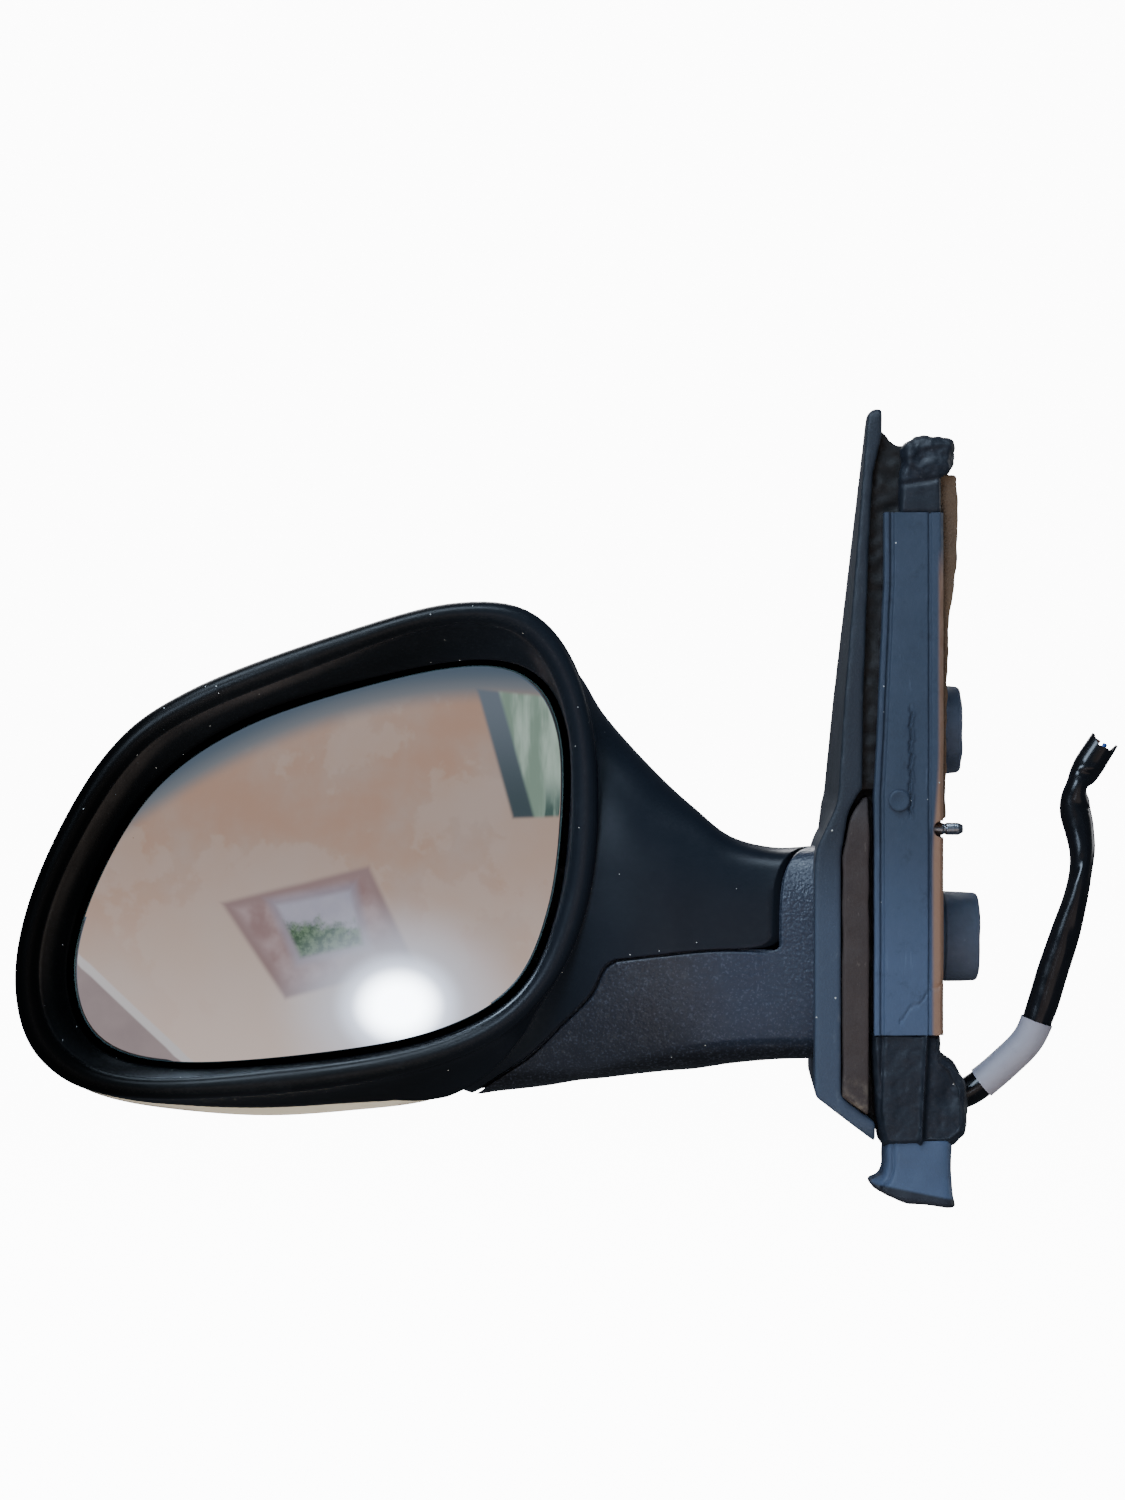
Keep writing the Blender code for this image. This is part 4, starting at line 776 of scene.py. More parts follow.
def head_ring(radius, depth):
    """A ring of the head from its radii and depths at TURNS, each a number or an array."""
    x = GLASS_CENTRE[0] + radius * np.cos(TURNS)
    z = GLASS_CENTRE[1] + radius * np.sin(TURNS)
    return np.stack([x, np.broadcast_to(depth, TURNS.shape), z], axis=1)


def dome_rings(inset, top, count):
    """Rings from the cap's edge back over the dome, inset from the outer skin."""
    rings = []
    for a in np.radians(np.linspace(3, top, count)):
        depth = DOME_START_Y + (BACK_Y - inset - DOME_START_Y) * math.sin(a) ** 1.15
        rings.append(head_ring((RIM_RADIUS + BULGE - inset) * math.cos(a) ** 0.62, depth))
    return rings


def rim_rings(steps=14):
    """The rounded bead of the rim, from its inner side over its crest to its outer side."""
    rings = []
    for a in np.radians(np.linspace(180, 0, steps + 1)):
        rings.append(head_ring(RIM_RADIUS - BEAD * (1 - math.cos(a)), CREST + BEAD * (1 - math.sin(a))))
    return rings


def tunnel_rings():
    """The hood's inner wall, from the throat round the glass forward to the bead, as one smooth sweep."""
    throat_y = -7.0
    stations = [(THROAT, np.full_like(THROAT, throat_y)), (TUNNEL, throat_y + TUNNEL_Y), (HOOD, CREST + BEAD)]
    fine = spline(np.reshape(stations, (3, -1)), 6)[:-1].reshape(-1, 2, HEAD_STEPS)
    return [head_ring(radius, depth) for radius, depth in fine]


def side_rings():
    """The bowl's side, widening from the rim back to the painted cap's edge, which it tucks under."""
    front, back = -13.0, -0.6
    edge = CAP_EDGE + 0.8 * CAP_HIDDEN
    rings = []
    for y in np.linspace(front, -1.4, 7):
        share = ((y - front) / (back - front)) ** 1.5
        rings.append(head_ring(RIM_RADIUS + (edge - RIM_RADIUS) * share, y))
    rings.append(head_ring(edge - 0.35, -0.75))
    rings.append(head_ring(CAP_EDGE - 0.9, -0.55))
    rings.append(head_ring(RIM_RADIUS - WALL - 0.5, -0.5))
    return rings


def housing_bowl():
    """The bowl with its rim, tunnel and throat, open at the front."""
    web = [
        (WEB, 1.5), (WEB, -3.5), (RIM_RADIUS - 3.0, -6.0), (RIM_RADIUS - 3.0, CREST + 8.0),
        (TUNNEL + 2.6, TUNNEL_Y - 4.5), (THROAT + 2.4, -4.5), (THROAT + 2.4, 0.5), (THROAT + 0.5, 0.5),
        (THROAT, 0.0),
    ]
    rings = dome_rings(WALL * 2, 80, 10)[::-1]
    rings += [head_ring(radius, depth) for radius, depth in web]
    rings += tunnel_rings() + rim_rings() + side_rings() + dome_rings(WALL + 0.5, 80, 14)
    return loft("head_housing_skin", rings)


def cavity(grow):
    """The space inside the bowl, grown a little, as a cutter for the arm."""
    rings = dome_rings(WALL * 2 - grow, 80, 10)[::-1]
    rings += [head_ring(WEB + grow, -3.5), head_ring(THROAT + grow, -9.0), head_ring(HOOD + grow, -60.0)]
    return loft("cavity", rings)


def squircle(centre, half, squareness=3.0, count=64):
    """A rounded box as points a, b: an ellipse at squareness 2, squarer above it."""
    turn = 2 * np.pi * (np.arange(count) + 0.5) / count
    sides = []
    for middle, reach, wave in zip(centre, half, (np.cos(turn), np.sin(turn))):
        sides.append(middle + reach * np.sign(wave) * np.abs(wave) ** (2 / squareness))
    return np.stack(sides, axis=1)


def arm_solid(name, stations, grow=0.0, count=88, steps=5):
    rows = spline(stations, steps)
    if grow:
        last = rows[-1].copy()
        last[0] -= grow
        rows = np.vstack([rows, last])
    rings = []
    for x, top, bottom, rear, front, squareness in rows:
        half = ((front - rear) / 2 + grow, (top - bottom) / 2 + grow)
        section = squircle(((rear + front) / 2, (top + bottom) / 2), half, squareness, count)
        rings.append([along("X", y, z, x) for y, z in section])
    return loft(name, rings)


def foot_zone(name, shift, neck_radius, fillet=5.0):
    """The space that belongs to the foot: under the turned joint face, and beyond the arm's round end."""
    floor, sides = -100.0, 120
    start, shoulder = FOOT_PROFILE[:2]
    profile = [start, shoulder, *spline(FOOT_PROFILE[1:], 5)[1:]]
    profile = [(r + shift, z + shift) for r, z in profile]
    profile = [(0.05, start[1] + shift), *profile, (FOOT_PROFILE[-1][0] + shift, floor), (0.05, floor)]
    zone = turned(name, "Z", PIVOT, profile, sides)
    neck = box("neck", (PIVOT[0] + 2, -45, shoulder[1] - 1.4), (-20, 60, 30))
    low, inner = start[1] + shift - 0.9, neck_radius - fillet
    seam = [(0.05, -60), (inner, -60)]
    for a in np.radians(np.linspace(0, 90, 9)):
        seam.append((inner + fillet * math.sin(a), low + fillet - fillet * math.cos(a)))
    seam += [(neck_radius, 60), (0.05, 60)]
    boolean(neck, turned("seam", "Z", PIVOT, seam, sides))
    return boolean(zone, neck, "UNION")


def build_head_housing():
    housing = housing_bowl()
    arm = arm_solid("arm", ARM_STATIONS)
    boolean(arm, cavity(1.0))
    boolean(housing, arm, "UNION")
    passage = arm_solid("passage", PASSAGE_STATIONS, count=40, steps=3)
    boolean(passage, foot_zone("wall_zone", 3.4, SEAM_RADIUS - 3.2))
    boolean(housing, passage)
    boolean(housing, foot_zone("gap_zone", HEAD_SEAM_SHIFT, SEAM_RADIUS - 0.4))
    boolean(housing, cylinder("hub_hole", "Z", PIVOT, 18.0, -60, -30))
    return shown(housing, 38, "head", "black_plastic", "head_housing")


def build_painted_cap():
    rings = dome_rings(WALL, 86, 20)[::-1]
    rings += [head_ring(CAP_EDGE - inset, y) for inset, y in ((WALL, 0.15), (0.5, 0.15), (0.12, 0.35))]
    rings += dome_rings(0.0, 89.2, 44)
    cap = loft("painted_cap_skin", rings)
    boolean(cap, arm_solid("arm_gap", ARM_STATIONS, grow=0.7))
    boolean(cap, foot_zone("cap_zone", HEAD_SEAM_SHIFT, SEAM_RADIUS))
    return shown(cap, 38, "head", "cream_paint", "painted_cap")


def build_foot_shell():
    foot = arm_solid("foot_shell_skin", ARM_STATIONS)
    boolean(foot, foot_zone("foot_keep", 0.0, SEAM_RADIUS + GROOVE - 0.4, fillet=2.8), "INTERSECT")
    rabbet = arm_solid("rabbet", ARM_STATIONS, grow=-1.8)
    # The inner lip's corner stays sharp, so that the head's underside clears it when it folds.
    lip = foot_zone("rabbet_keep", HEAD_SEAM_SHIFT - 0.15, SEAM_RADIUS - 0.2, fillet=0.2)
    boolean(rabbet, lip, "INTERSECT")
    boolean(foot, rabbet, "UNION")
    hollow = arm_solid("hollow", PASSAGE_STATIONS, count=40, steps=3)
    boolean(hollow, foot_zone("hollow_keep", -3.0, SEAM_RADIUS + 3.7), "INTERSECT")
    boolean(foot, hollow)
    boolean(foot, cylinder("ring_hole", "Z", PIVOT, 18.0, -60, -30))
    boolean(foot, box("trim", (-39.4, -60, -120), (0, 60, 40)))
    return shown(foot, 38, "base", "grained_plastic", "foot_shell")


def glass_ring(share, drawn_in=0.0, deeper=0.0):
    """A ring of the convex glass at this share of its outline."""
    radius = GLASS_RADIUS * share - drawn_in
    return head_ring(radius, GLASS_CREST_Y + radius**2 / (2 * GLASS_RADIUS_OF_CURVE) + deeper)


def build_glass():
    """Convex mirror glass with a ground edge."""
    front = [glass_ring(share) for share in (0.004, *np.linspace(0.03, 0.97, 26), 0.985, 0.994)]
    edge = [glass_ring(1.0, *place) for place in ((0.12, 0.2), (0.0, 0.5), (0.0, 1.5), (0.5, 2.0))]
    back = [glass_ring(share, 0.0, GLASS_THICK) for share in np.linspace(0.95, 0.02, 8)]
    glass = loft("mirror_glass_pane", front + edge + back)
    shown(glass, 30, "glass", "mirror_silver", "mirror_glass")
    glass.data.materials.append(EDGE_FINISH)
    for polygon in glass.data.polygons:
        if min(polygon.vertices) >= (len(front) - 1) * HEAD_STEPS:
            polygon.material_index = 1
    return glass


# --- Door side ----------------------------------------------------------------------------------


def build_sail_cover():
    profile = [
        (-43.2, -87.6, 3), (-43.2, -5.5, 20), (-35.4, 10.8, 20), (-33.2, 45, 20), (-25.2, 143, 3.4),
        (-20.4, 143, 0.9), (-20.6, 134, 3), (-23.6, 121, 8), (-24.8, 100, 20), (-26.8, 45, 10),
        (-27.2, 15, 1), (-28.5, 14, 1), (-31.8, 7.5, 8), (-34.2, -7, 12), (-34.2, -87.6, 2),
        (-22.8, -96.4, 2), (-22.6, -103.2, 0.5),
    ]
    cover = prism("sail_cover_skin", rounded(profile, 8), "Y", -60, 90)
    boolean(cover, prism("edge", rounded(SAIL_OUTLINE, 12), "X", -60, -10), "INTERSECT")
    lower = [(-26, -82, 6), (-26, 0, 6), (34, 0, 6), (62, -45, 13), (60, -82, 8)]
    boolean(cover, prism("lower_pocket", rounded(lower), "X", -40.5, -30))
    upper = [(-35, 17, 1), (-35, 131, 2), (-27, 131, 2), (41, 17, 3)]

    def pocket_floor(y, z):
        """The pocket's floor slants in with the cover's back."""
        return -30.2 + 6.8 * (z - 17) / 114

    boolean(cover, prism("upper_pocket", rounded(upper, 4), "X", pocket_floor, -15))
    boolean(cover, box("doorway", (-60, -16, -74), (-30, 22, -47)))
    softened(cover, 0.8, 4)

    def lean(place, normal):
        """The flange's outer face turns in towards the front of the car."""
        share = clamped((-36 - place.x) / 4)
        return Vector((0.035 * share * (place.y + 40), 0, 0))

    pushed(cover, lean)
    return shown(cover, 60, "base", "grained_plastic", "sail_cover", finish=SAIL_FINISH)


def build_base_gasket():
    profile = [
        (-33.8, -87.4, 0.5), (-33.8, -8, 26), (-31.2, 6, 16), (-26.7, 12.8, 1.4), (-25, 12.8, 0.6),
        (-25, -94.3, 0.6),
    ]
    gasket = prism("base_gasket_skin", rounded(profile, 6), "Y", -60, 90)
    outer = [(-40, -100, 10), (-40, 16, 14), (40, 16, 6), (77, -42, 20), (74, -100, 14)]
    boolean(gasket, prism("edge", rounded(outer), "X", -60, -10), "INTERSECT")
    inner = [(-28, -84, 6), (-28, 2, 6), (36, 2, 6), (64, -44, 14), (62, -84, 8)]
    boolean(gasket, prism("window", rounded(inner), "X", -60, -10))
    softened(gasket, 0.6, 4)
    pushed(gasket, lumps(9.0, 0.35, 3.1))
    return shown(gasket, 60, "base", "brown_rubber", "base_gasket")


def seal_outline():
    """The channel's section as x, y: a flat face towards the back of the car between two rounded lips."""
    corners = [
        (-20, -26, 0.2), (-20, -40.4, 0.7), (-18.3, -40.4, 0.4), (-17.7, -39.2, 0.3), (-16.9, -39.2, 0.3),
        (-16.4, -40, 0.4), (-5.4, -40, 0.3), (-5.0, -39.3, 0.25), (-4.4, -39.3, 0.25), (-3.9, -39.9, 0.4),
        (-1.2, -39.9, 0.8), (0, -38.4, 1.0), (0, -26, 0.2), (-3, -26, 0.2), (-3.6, -36, 0.8),
        (-16.4, -36, 0.8), (-17, -26, 0.2),
    ]
    outline = np.array(rounded(corners, 4))
    fine = []
    for a, b in zip(outline, np.roll(outline, -1, axis=0)):
        parts = max(1, round(np.linalg.norm(b - a) / (0.28 if max(a[1], b[1]) < -38 else 1.5)))
        fine += [a + (b - a) * k / parts for k in range(parts)]
    return np.array(fine)


def ending(z, low, high):
    """1 between two heights, falling to 0 over 3 mm inside each."""
    return clamped(min((z - low) / 3, (high - z) / 3))


def seal_ring(section, z):
    """The channel's section at height z, with its rib, its mould line, its fold and its waviness."""
    face = section[:, 1] < -37.5
    x, y = section[:, 0].copy(), section[:, 1].copy()
    x -= np.where(x < -16, 3.3 * clamped((85 - z) / 72), 0)
    sway = 0.3 * math.sin(z * 0.9) + 0.2 * math.sin(z * 2.3)
    rib = 0.8 * bell(x, -11.3 - sway, 0.35) - 0.45 * bell(x, -10.5 - sway, 0.4)
    line = 0.55 * bell(x, -4.8 + 0.012 * (z + 35), 0.3)
    y += np.where(face, rib, 0) * ending(z, 5, 44)
    y += np.where(face, line, 0) * ending(z, -52, 3)
    fold = 0.5 * bell(z - 0.9 * (x + 9) - 0.8 * np.sin(x), -56.5, 0.7)
    y += np.where(face & (x > -15), fold, 0)
    wave = 0.25 * noise.noise(Vector((0.0, 4.0, z / 23.0)))
    wave += 0.12 * noise.noise(Vector((7.0, 0.0, z / 6.0)))
    return np.stack([x + wave * 0.6, y + wave, np.full(len(x), z)], axis=1)


def build_channel_seal():
    """The long rubber channel, slightly wavy, with a plug in its face and a web to the sail cover, made near
    black as painted shade.
    """
    section = seal_outline()
    seal = loft("channel_seal_skin", [seal_ring(section, z) for z in np.arange(-67.0, 108.01, 0.7)])
    boolean(seal, cylinder("stud_notch", "Y", (-0.6, STUD[1]), 2.8, -45, -29))
    shown(seal, 40, "base", "rubber", "channel_seal", finish=SEAL_FINISH)
    button = [
        (0.05, -40.5), (1.6, -40.6), (2.7, -40.9), (3.2, -40.95), (3.6, -40.6), (3.75, -39.0), (0.05, -39.0),
    ]
    plug = turned("channel_seal_plug", "Y", (-15.0, 11.5), button, 56)
    shown(plug, 60, "base", "rubber", finish=SEAL_FINISH)
    outline = [
        (-31.0, -90.0), (-23.0, -99.0), (-17.0, -99.0), (-17.0, 120.0), (-22.6, 126.0), (-25.6, 100.0),
        (-28.4, 45.0), (-29.0, 14.0),
    ]
    # The web fills the gap behind the channel, near black as painted shade.
    web = prism("channel_seal_web", outline, "Y", -30.5, -28.5)
    shown(web, 0, "base", "rubber", finish=RECESS_SHADE_FINISH)


def stacked(name, axis, stations, squareness=3.0, steps=5):
    """A soft block through stations of (place on axis, centre, half size)."""
    rows = spline([(depth, *centre, *half) for depth, centre, half in stations], steps)
    rings = []
    for depth, a, b, u, v in rows:
        rings.append([along(axis, p, q, depth) for p, q in squircle((a, b), (u, v), squareness)])
    return loft(name, rings)


def pillow(name, outline, depths):
    """A solid with this x, z outline whose rings at each depth y are drawn in by so much."""
    shape = np.array(rounded(outline, 6))
    middle = shape.mean(axis=0)
    spokes = shape - middle
    far = np.linalg.norm(spokes, axis=1)[:, None]
    rings = []
    for y, drawn_in in depths:
        rings.append([(x, y, z) for x, z in middle + spokes * (1 - drawn_in / far)])
    return loft(name, rings)


def build_seal_end_block():
    """The melted-looking end of the channel, smooth at its foot, with a thin web to the sail cover, made near
    black as painted shade.
    """
    outline = [
        (-14.9, 106.5, 1), (-14.9, 121, 4), (-13.4, 130.0, 1), (-12.0, 131.7, 1.2), (-9.5, 133.0, 2),
        (-4.7, 133.8, 2), (0.3, 133.5, 1.5), (2.4, 132.8, 1), (3.5, 130.6, 1), (3.7, 127.0, 1),
        (3.2, 123.2, 1), (-0.8, 119.8, 1), (-0.8, 106.5, 1),
    ]
    depths = [(-25, 2), (-26.5, 0.5), (-29, 0), (-37, 0), (-39.0, 0.8), (-40.0, 2.4)]
    block = softened(pillow("seal_end_block_skin", outline, depths), 0.5, 5)
    rough = lumps(4.5, 1.3, 2.0)
    fine = lumps(1.8, 0.4, 5.0)

    def melt(place, normal):
        share = clamped((place.z - 116) / 6, low=0.15)
        crease = -0.9 * bell(place.z - 0.15 * place.x, 119.5, 0.9) * max(0.0, -normal.y)
        return (rough(place, normal) + fine(place, normal)) * share + normal * crease

    pushed(block, melt)
    shown(block, 60, "base", "rubber", "seal_end_block", finish=DARK_RUBBER)
    web = [
        (-29.0, 15.0, 0.2), (-28.4, 45.0, 5), (-25.6, 100.0, 5), (-24.5, 134.0, 1), (-22.8, 138.0, 0.4),
        (-21.2, 138.0, 0.4), (-20.2, 135.0, 2), (-18.4, 132.2, 2), (-15.6, 131.0, 2), (-11.0, 130.9, 0.5),
        (-11.0, 106.0, 0.2), (-17.0, 104.0, 0.5), (-17.0, 15.0, 0.2),
    ]
    # The web is near black as painted shade.
    sheet = softened(prism("seal_end_web", rounded(web, 4), "Y", -34.5, -31.0), 0.4, 3)
    pushed(sheet, lumps(4.0, 0.9, 7.0))
    return shown(sheet, 60, "base", "rubber", finish=RECESS_SHADE_FINISH)


def build_foam_strip():
    outline = [
        (-2.2, 5.6, 0.1), (0.9, 5.6, 0.4), (1.2, 30, 2), (1.5, 56, 5), (1.9, 69, 5), (2.6, 76, 5),
        (3.8, 83, 5), (4.7, 90, 5), (5.2, 108, 4), (4.6, 121.0, 1.5), (-2.2, 121.0, 0.1),
    ]
    strip = prism("door_foam_strip_skin", rounded(outline, 4), "Y", -36, -25)
    softened(strip, 0.35, 4)
    pushed(strip, lumps(5.0, 0.5, 1.0))
    return shown(strip, 60, "base", "foam", "door_foam_strip")


def build_cable_boot():
    """A folded rubber boot: a flat face under the channel and a drawn-in bump that the cable leaves."""
    outline = [
        (-24.6, -65.4, 1.5), (-1.2, -65.4, 1), (-0.4, -73.5, 2), (4.2, -76.5, 3), (8.2, -84.0, 3),
        (8.5, -92.0, 4), (8.0, -100.5, 4), (3.0, -104.6, 3), (-20.2, -104.4, 1.5), (-22.6, -94.0, 10),
    ]
    depths = [(-9, 3.0), (-10.5, 0.6), (-14, 0.0), (-34, 0.0), (-37.2, 0.7), (-39.0, 2.4)]
    boot = pillow("cable_boot_skin", outline, depths)
    softened(boot, 0.5, 5)

    def folds(place, normal):
        """The face's fold lines, the bump's deeper set and soft dents."""
        facing = max(0.0, -normal.y)
        fold = place.x + 6.6 - 0.05 * (place.z + 85)
        back = 1.8 / (1 + math.exp(-(fold - 0.6) / 0.5)) - 1.5 * bell(fold, 0, 0.7)
        left = -0.9 * bell(place.x - 0.05 * (place.z + 85), -21.2, 0.7)
        dent = -1.4 * bell(place.x, 2.5, 3.5) * bell(place.z, -86, 7.0)
        lump = 0.5 * noise.noise(place / 5.0) + 0.2 * noise.noise(place / 1.7)
        return normal * ((left - back + dent) * facing + lump)

    pushed(boot, folds)
    nib = turned("nib", "X", (-24, -88.5), [(0.2, 4.0), (3.4, 4.0), (3.0, 9.0), (1.6, 10.6), (0.2, 11.0)], 32)
    boolean(boot, nib, "UNION")
    hole = turned("hole", "X", (-22.0, -88.2), [(0.05, 2.0), (5.3, 2.0), (5.5, 14.0), (0.05, 14.0)], 40)
    boolean(boot, hole)
    return shown(boot, 50, "base", "rubber", "cable_boot", finish=DARK_RUBBER)


def build_lower_lip():
    """The seal's lower end: a flat tongue that flares into a turned-out, slanted edge."""
    stations = [
        (-102.5, (-8.1, -25), (11.0, 12.6)), (-105.0, (-8.1, -25), (11.3, 13.0)),
        (-112, (-8.3, -25), (11.3, 13.2)), (-117, (-8.7, -25), (11.9, 13.6)),
        (-120.6, (-9.5, -25), (13.4, 14.8)), (-122.4, (-9.8, -25), (14.3, 15.4)),
        (-123.4, (-9.8, -25), (13.6, 14.6)),
    ]
    lip = stacked("seal_lower_lip_skin", "Z", stations, 7.0)
    softened(lip, 0.5, 4)

    def slant(place, normal):
        """Lifts the edge at its outer end, and draws a crease beside the flat face."""
        low = clamped((-110.0 - place.z) / 11.0)
        left = clamped((-11.0 - place.x) / 13.0)
        right = clamped((place.x + 11.0) / 15.0)
        crease = -1.1 * bell(place.x, -17.0 - 3.5 * low * low, 0.6) * max(0.0, -normal.y)
        shift = normal * (crease + 0.4 * noise.noise(place / 6.0 + Vector((3, 1, 2))))
        return shift + Vector((0.0, 0.0, low * (5.5 * left**1.5 - 1.7 * right)))

    pushed(lip, slant)
    return shown(lip, 50, "base", "rubber", "seal_lower_lip", finish=SEAL_FINISH)


def build_bushes():
    inner, seat = 5.85, -0.25
    for place, (z, radius, reach) in BUSHES.items():
        collar = 2.6 if place == "lower" else 1.0
        corners = [
            (inner, seat, 0.3), (radius - 1.2, seat, 0.5), (radius - 0.7, collar, 0.6),
            (radius, collar + 0.7, 0.5), (radius - 0.1, reach * 0.6, 4.0), (radius - 0.5, reach, 1.6),
            (radius - 3.4, reach - 0.2, 0.4), (radius - 4.0, reach - 1.2, 0.4), (9.0, reach - 1.2, 0.5),
            (8.0, reach, 0.6), (inner, reach, 0.4),
        ]
        profile = np.array(rounded(corners, 4))
        bush = turned(f"rubber_bush_{place}_skin", "X", (0, z), profile, 120, closed=True)
        pushed(bush, lumps(7.0, 0.35, z))
        shown(bush, 45, "base", "rubber", f"rubber_bush_{place}")
        thread = [(5.5, -22.0), (5.5, reach - 0.6), (5.0, reach), (3.7, reach)]
        pitch, turns_down = 1.0, 12
        for k in range(turns_down):
            thread += [(3.6, reach - 0.5 - k * pitch), (3.1, reach - 1.0 - k * pitch)]
        thread += [(3.1, -22.0)]
        insert = turned(f"threaded_insert_{place}_skin", "X", (0, z), thread, 72, closed=True)
        shown(insert, 30, "base", "plated_steel", f"threaded_insert_{place}")


def build_stud():
    corners = [
        (0.05, -16.0, 0), (2.7, -16.0, 0.2), (2.7, -13.4, 0.2), (2.1, -13.4, 0.1), (2.1, 0.0, 0.2),
        (1.8, 0.5, 0.2), (1.8, 1.0, 0.2), (2.1, 1.5, 0.2), (2.1, 5.4, 1.0), (1.3, 7.0, 0.6), (0.05, 7.1, 0),
    ]
    stud = turned("locating_stud_skin", "X", STUD, rounded(corners, 5), 56)
    pushed(stud, lumps(1.6, 0.12, 1.0))
    return shown(stud, 40, "base", "plated_steel", "locating_stud")


# --- CAD pieces that stay -----------------------------------------------------------------------


def finish_cad_nodes():
    """Every CAD piece still shown gets the finish of its slot, and smooth shading between sharp edges."""
    slots = {part["node"]: part["material_slot"] for part in frame["record"]["subparts"]}
    for name, node in frame["nodes"].items():
        if node.hide_render:
            continue
        node.data.materials.clear()
        node.data.materials.append(FINISHES[slots[name]])
        node.data.shade_smooth()
        custom = node.data.attributes.get("custom_normal")
        if custom:
            node.data.attributes.remove(custom)
        weld = node.modifiers.new("weld", "WELD")
        weld.merge_threshold = 0.003 * MM
        split = node.modifiers.new("sharp_edges", "EDGE_SPLIT")
        split.split_angle = math.radians(32)


# --- Stage and light ----------------------------------------------------------------------------


def area_light(name, place, target, size, power, colour):
    data = bpy.data.lights.new(name, "AREA")
    data.shape = "RECTANGLE"
    data.size, data.size_y = size
    data.energy = power
    data.color = colour
    lamp = added(name, data)
    lamp.location = place
    way = Vector(target) - Vector(place)
    lamp.rotation_euler = way.to_track_quat("-Z", "Y").to_euler()
    return lamp


def stage_plane(name, centre, width, height, upright, unseen_by):
    """A plane of the stage that the named kinds of ray pass through."""
    mesh = bpy.data.meshes.new(name)
    x, z = width / 2, height / 2
    if upright:
        corners = [(-x, 0, -z), (x, 0, -z), (x, 0, z), (-x, 0, z)]
    else:
        corners = [(-x, -z, 0), (x, -z, 0), (x, z, 0), (-x, z, 0)]
    mesh.from_pydata(corners, [], [(0, 1, 2, 3)])
    plane = added(name, mesh)
    plane.location = centre
    for ray in unseen_by:
        setattr(plane, f"visible_{ray}", False)
    return plane


def build_floor():
    """A plain white floor well below the part, which its door mount holds up."""
    unseen_by = ("diffuse", "glossy", "shadow", "transmission")
    floor = stage_plane("floor", (0, 0, -0.30), 60, 60, False, unseen_by)
    f = Finish("white_floor")
    f.set(Base_Color=(0.9, 0.9, 0.9), Roughness=0.9, Emission_Color=(1.0, 1.0, 1.0), Emission_Strength=12.0)
    floor.data.materials.append(f.material)


class Wall(Finish):
    """The reflected wall. x and z are places on it in millimetres, and its colours are linear."""

    def __init__(self):
        super().__init__("warm_wall")
        self.x = self.sum(self.axis("X"), -400.0)
        self.z = self.sum(self.axis("Z"), -20.0)

    def beyond(self, a, b):
        """Signed distance from the line from a to b, more than 0 on its right."""
        way = (Vector(b) - Vector(a)).normalized()
        across = self.product(self.math("SUBTRACT", self.x, a[0]), way.y)
        return self.math("SUBTRACT", across, self.product(self.math("SUBTRACT", self.z, a[1]), way.x))

    def within(self, corners):
        """Distance inside a polygon whose corners run clockwise."""
        reach = self.beyond(corners[-1], corners[0])
        for a, b in zip(corners, corners[1:]):
            reach = self.math("MINIMUM", reach, self.beyond(a, b))
        return reach


def lay_plaster(f):
    """Blotched warm plaster, a shaded corner at lower left and a dark blind that hangs in a bow."""
    f.colour = f.mix(f.ramp(f.noise(300, 5, 0.55), 0.35, 0.7), (0.45, 0.285, 0.215), (0.45, 0.345, 0.305))
    f.lay(f.product(f.ramp(f.noise(430, 7, 0.6), 0.5, 0.535), 0.5), (0.50, 0.39, 0.34))
    f.lay(f.ramp(f.z, 50, -800, 0.0, 0.85), (0.80, 0.66, 0.60))
    corner = f.beyond((-749, -660), (-1057, -374))
    f.lay(f.ramp(corner, 0, -14), f.mix(f.noise(120), (0.28, 0.22, 0.23), (0.42, 0.34, 0.34)))
    f.lay(f.ramp(f.math("ABSOLUTE", corner), 16, 9), (0.66, 0.62, 0.63))
    bow = f.product(f.math("POWER", f.sum(f.x, -120.0), 2.0), 0.00035)
    hem = f.sum(f.z, bow)
    f.lay(f.ramp(hem, 362, 425), (0.20, 0.21, 0.23))
    f.lay(f.ramp(hem, 405, 470), (0.095, 0.13, 0.175))


def lay_glazed_door(f):
    """A dark door frame round streaky green panes."""
    door = f.within([(79, 413), (640, 350), (640, 60), (181, 45)])
    streaks = f.noise(60, 4, 0.6, (1, 1, 0.15))
    panes = f.mix(f.ramp(streaks, 0.4, 0.65), (0.22, 0.31, 0.25), (0.46, 0.58, 0.50))
    shade = f.product(f.ramp(f.z, 190, 60), f.ramp(streaks, 0.45, 0.6))
    panes = f.mix(shade, panes, (0.07, 0.12, 0.11))
    door_frame = f.mix(f.ramp(f.z, 60, 400), (0.06, 0.085, 0.10), (0.15, 0.18, 0.22))
    jamb = f.ramp(f.beyond((79, 413), (181, 45)), -52, -66)
    f.lay(f.ramp(door, -7, 7), f.mix(jamb, door_frame, panes))


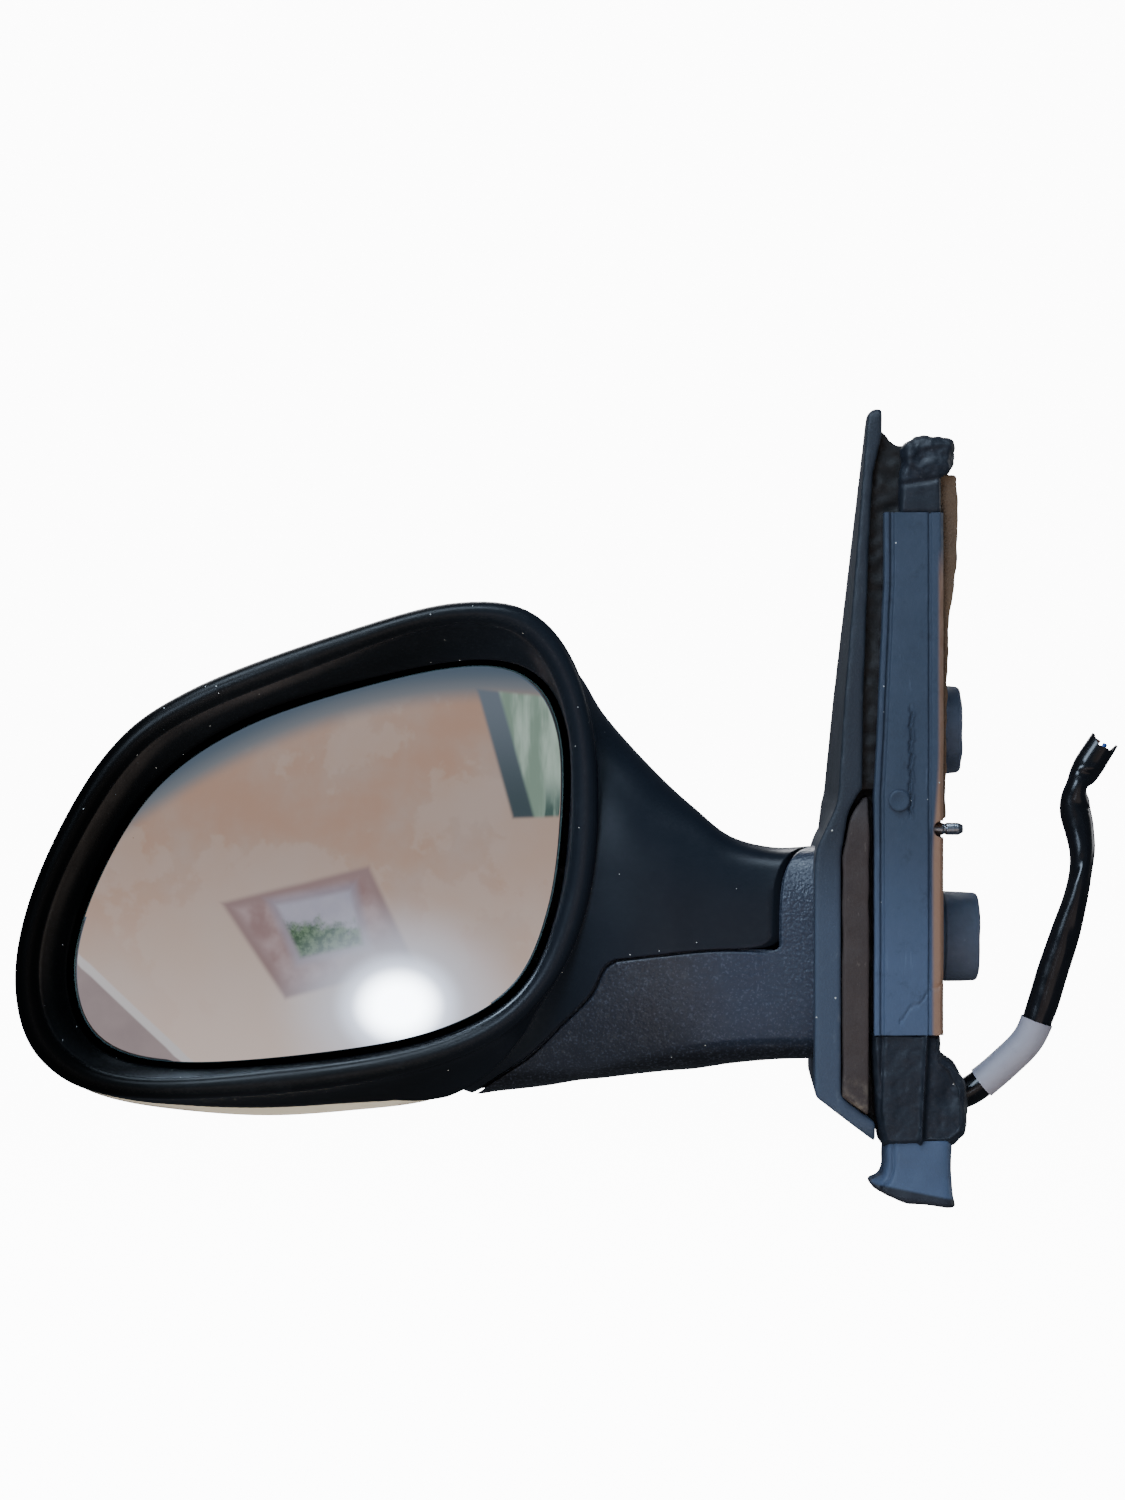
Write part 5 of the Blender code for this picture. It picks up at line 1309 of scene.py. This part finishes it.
def lay_skylight(f):
    """A pane of sky and leaves at the end of a shaft."""
    well = f.within([(-640, -199), (-230, -96), (-103, -366), (-465, -464)])
    pane = f.within([(-494, -198), (-278, -156), (-239, -317), (-424, -355)])
    f.lay(f.ramp(well, -14, 6), (0.31, 0.215, 0.215))
    sides = f.mix(f.ramp(f.noise(110), 0.35, 0.65), (0.31, 0.205, 0.205), (0.44, 0.33, 0.34))
    f.lay(f.ramp(well, 4, 40), sides)
    f.lay(f.ramp(pane, -34, 0), f.mix(f.noise(90), (0.27, 0.22, 0.27), (0.40, 0.36, 0.42)))
    leaves = f.ramp(f.sum(f.z, f.product(f.noise(45, 5, 0.7), -130.0)), -300, -345)
    sky = f.mix(f.noise(60), (0.36, 0.35, 0.45), (0.50, 0.48, 0.56))
    foliage = f.mix(f.ramp(f.noise(22, 4, 0.7), 0.4, 0.6), (0.05, 0.10, 0.055), (0.17, 0.25, 0.16))
    f.lay(f.ramp(pane, -6, 14), f.mix(leaves, sky, foliage))


def lay_lamp(f):
    """A bright lamp with its glow on the wall."""
    across = f.product(f.sum(f.x, 145.0), 0.85)
    squares = [f.math("POWER", side, 2.0) for side in (across, f.sum(f.z, 490.0))]
    reach = f.math("SQRT", f.sum(*squares))
    f.lay(f.ramp(reach, 340, 60, 0.0, 0.8), (0.92, 1.0, 1.2))
    f.lay(f.ramp(reach, 170, 70), (2.0, 2.2, 2.7))
    f.lay(f.ramp(reach, 120, 40), (11.0, 11.8, 13.0))


def build_reflection_card():
    """A warm plastered wall for the glass to reflect, with a door, a skylight and a lamp."""
    unseen_by = ("camera", "diffuse", "shadow", "transmission")
    card = stage_plane("reflection_card", (-0.40, -2.9, -0.02), 4.4, 3.6, True, unseen_by)
    f = Wall()
    for lay in (lay_plaster, lay_glazed_door, lay_skylight, lay_lamp):
        lay(f)
    f.tree.nodes.remove(f.shader)
    light = f.add("ShaderNodeEmission", {"Color": f.colour, "Strength": 1.0})
    f.tree.links.new(light.outputs[0], f.tree.nodes["Material Output"].inputs["Surface"])
    card.data.materials.append(f.material)


def build_world():
    """White where the camera looks past the part, dim as a light on it."""
    world = bpy.data.worlds.new("studio")
    bpy.context.scene.world = world
    world.use_nodes = True
    tree = world.node_tree
    background = tree.nodes["Background"]
    path = tree.nodes.new("ShaderNodeLightPath")
    colour = tree.nodes.new("ShaderNodeMix")
    colour.data_type = "RGBA"
    colour.inputs[6].default_value = (0.055, 0.066, 0.085, 1.0)
    colour.inputs[7].default_value = (12.0, 12.0, 12.0, 1.0)
    tree.links.new(path.outputs["Is Camera Ray"], colour.inputs[0])
    tree.links.new(colour.outputs[2], background.inputs["Color"])


def build_stage():
    build_floor()
    build_reflection_card()
    build_world()
    middle = (-0.13, 0.0, 0.0)
    area_light("key", (-0.45, -0.75, 1.5), middle, (1.3, 0.5), 26, (0.66, 0.82, 1.0))
    area_light("front", (-1.0, -1.55, 0.75), middle, (0.7, 0.6), 20, (0.62, 0.79, 1.0))
    side = area_light("side", (1.0, -1.5, 0.45), middle, (0.6, 0.8), 7, (0.60, 0.77, 1.0))
    side.visible_glossy = False
    low = area_light("low", (-0.25, -1.1, -1.1), middle, (0.9, 0.4), 18, (1.0, 0.95, 0.88))
    low.visible_glossy = False
    area_light("back", (-0.5, 1.6, 1.1), middle, (1.2, 0.9), 18, (0.95, 0.97, 1.0))
    area_light("door_side", (1.7, 0.5, 0.4), (0.0, 0.0, 0.0), (0.8, 0.8), 8, (0.95, 0.97, 1.0))


# --- Everything ---------------------------------------------------------------------------------


def main():
    build_camera()
    build_cable()
    build_head_housing()
    build_painted_cap()
    build_glass()
    build_foot_shell()
    build_sail_cover()
    build_base_gasket()
    build_channel_seal()
    build_seal_end_block()
    build_foam_strip()
    build_cable_boot()
    build_lower_lip()
    build_bushes()
    build_stud()
    finish_cad_nodes()
    build_stage()


main()
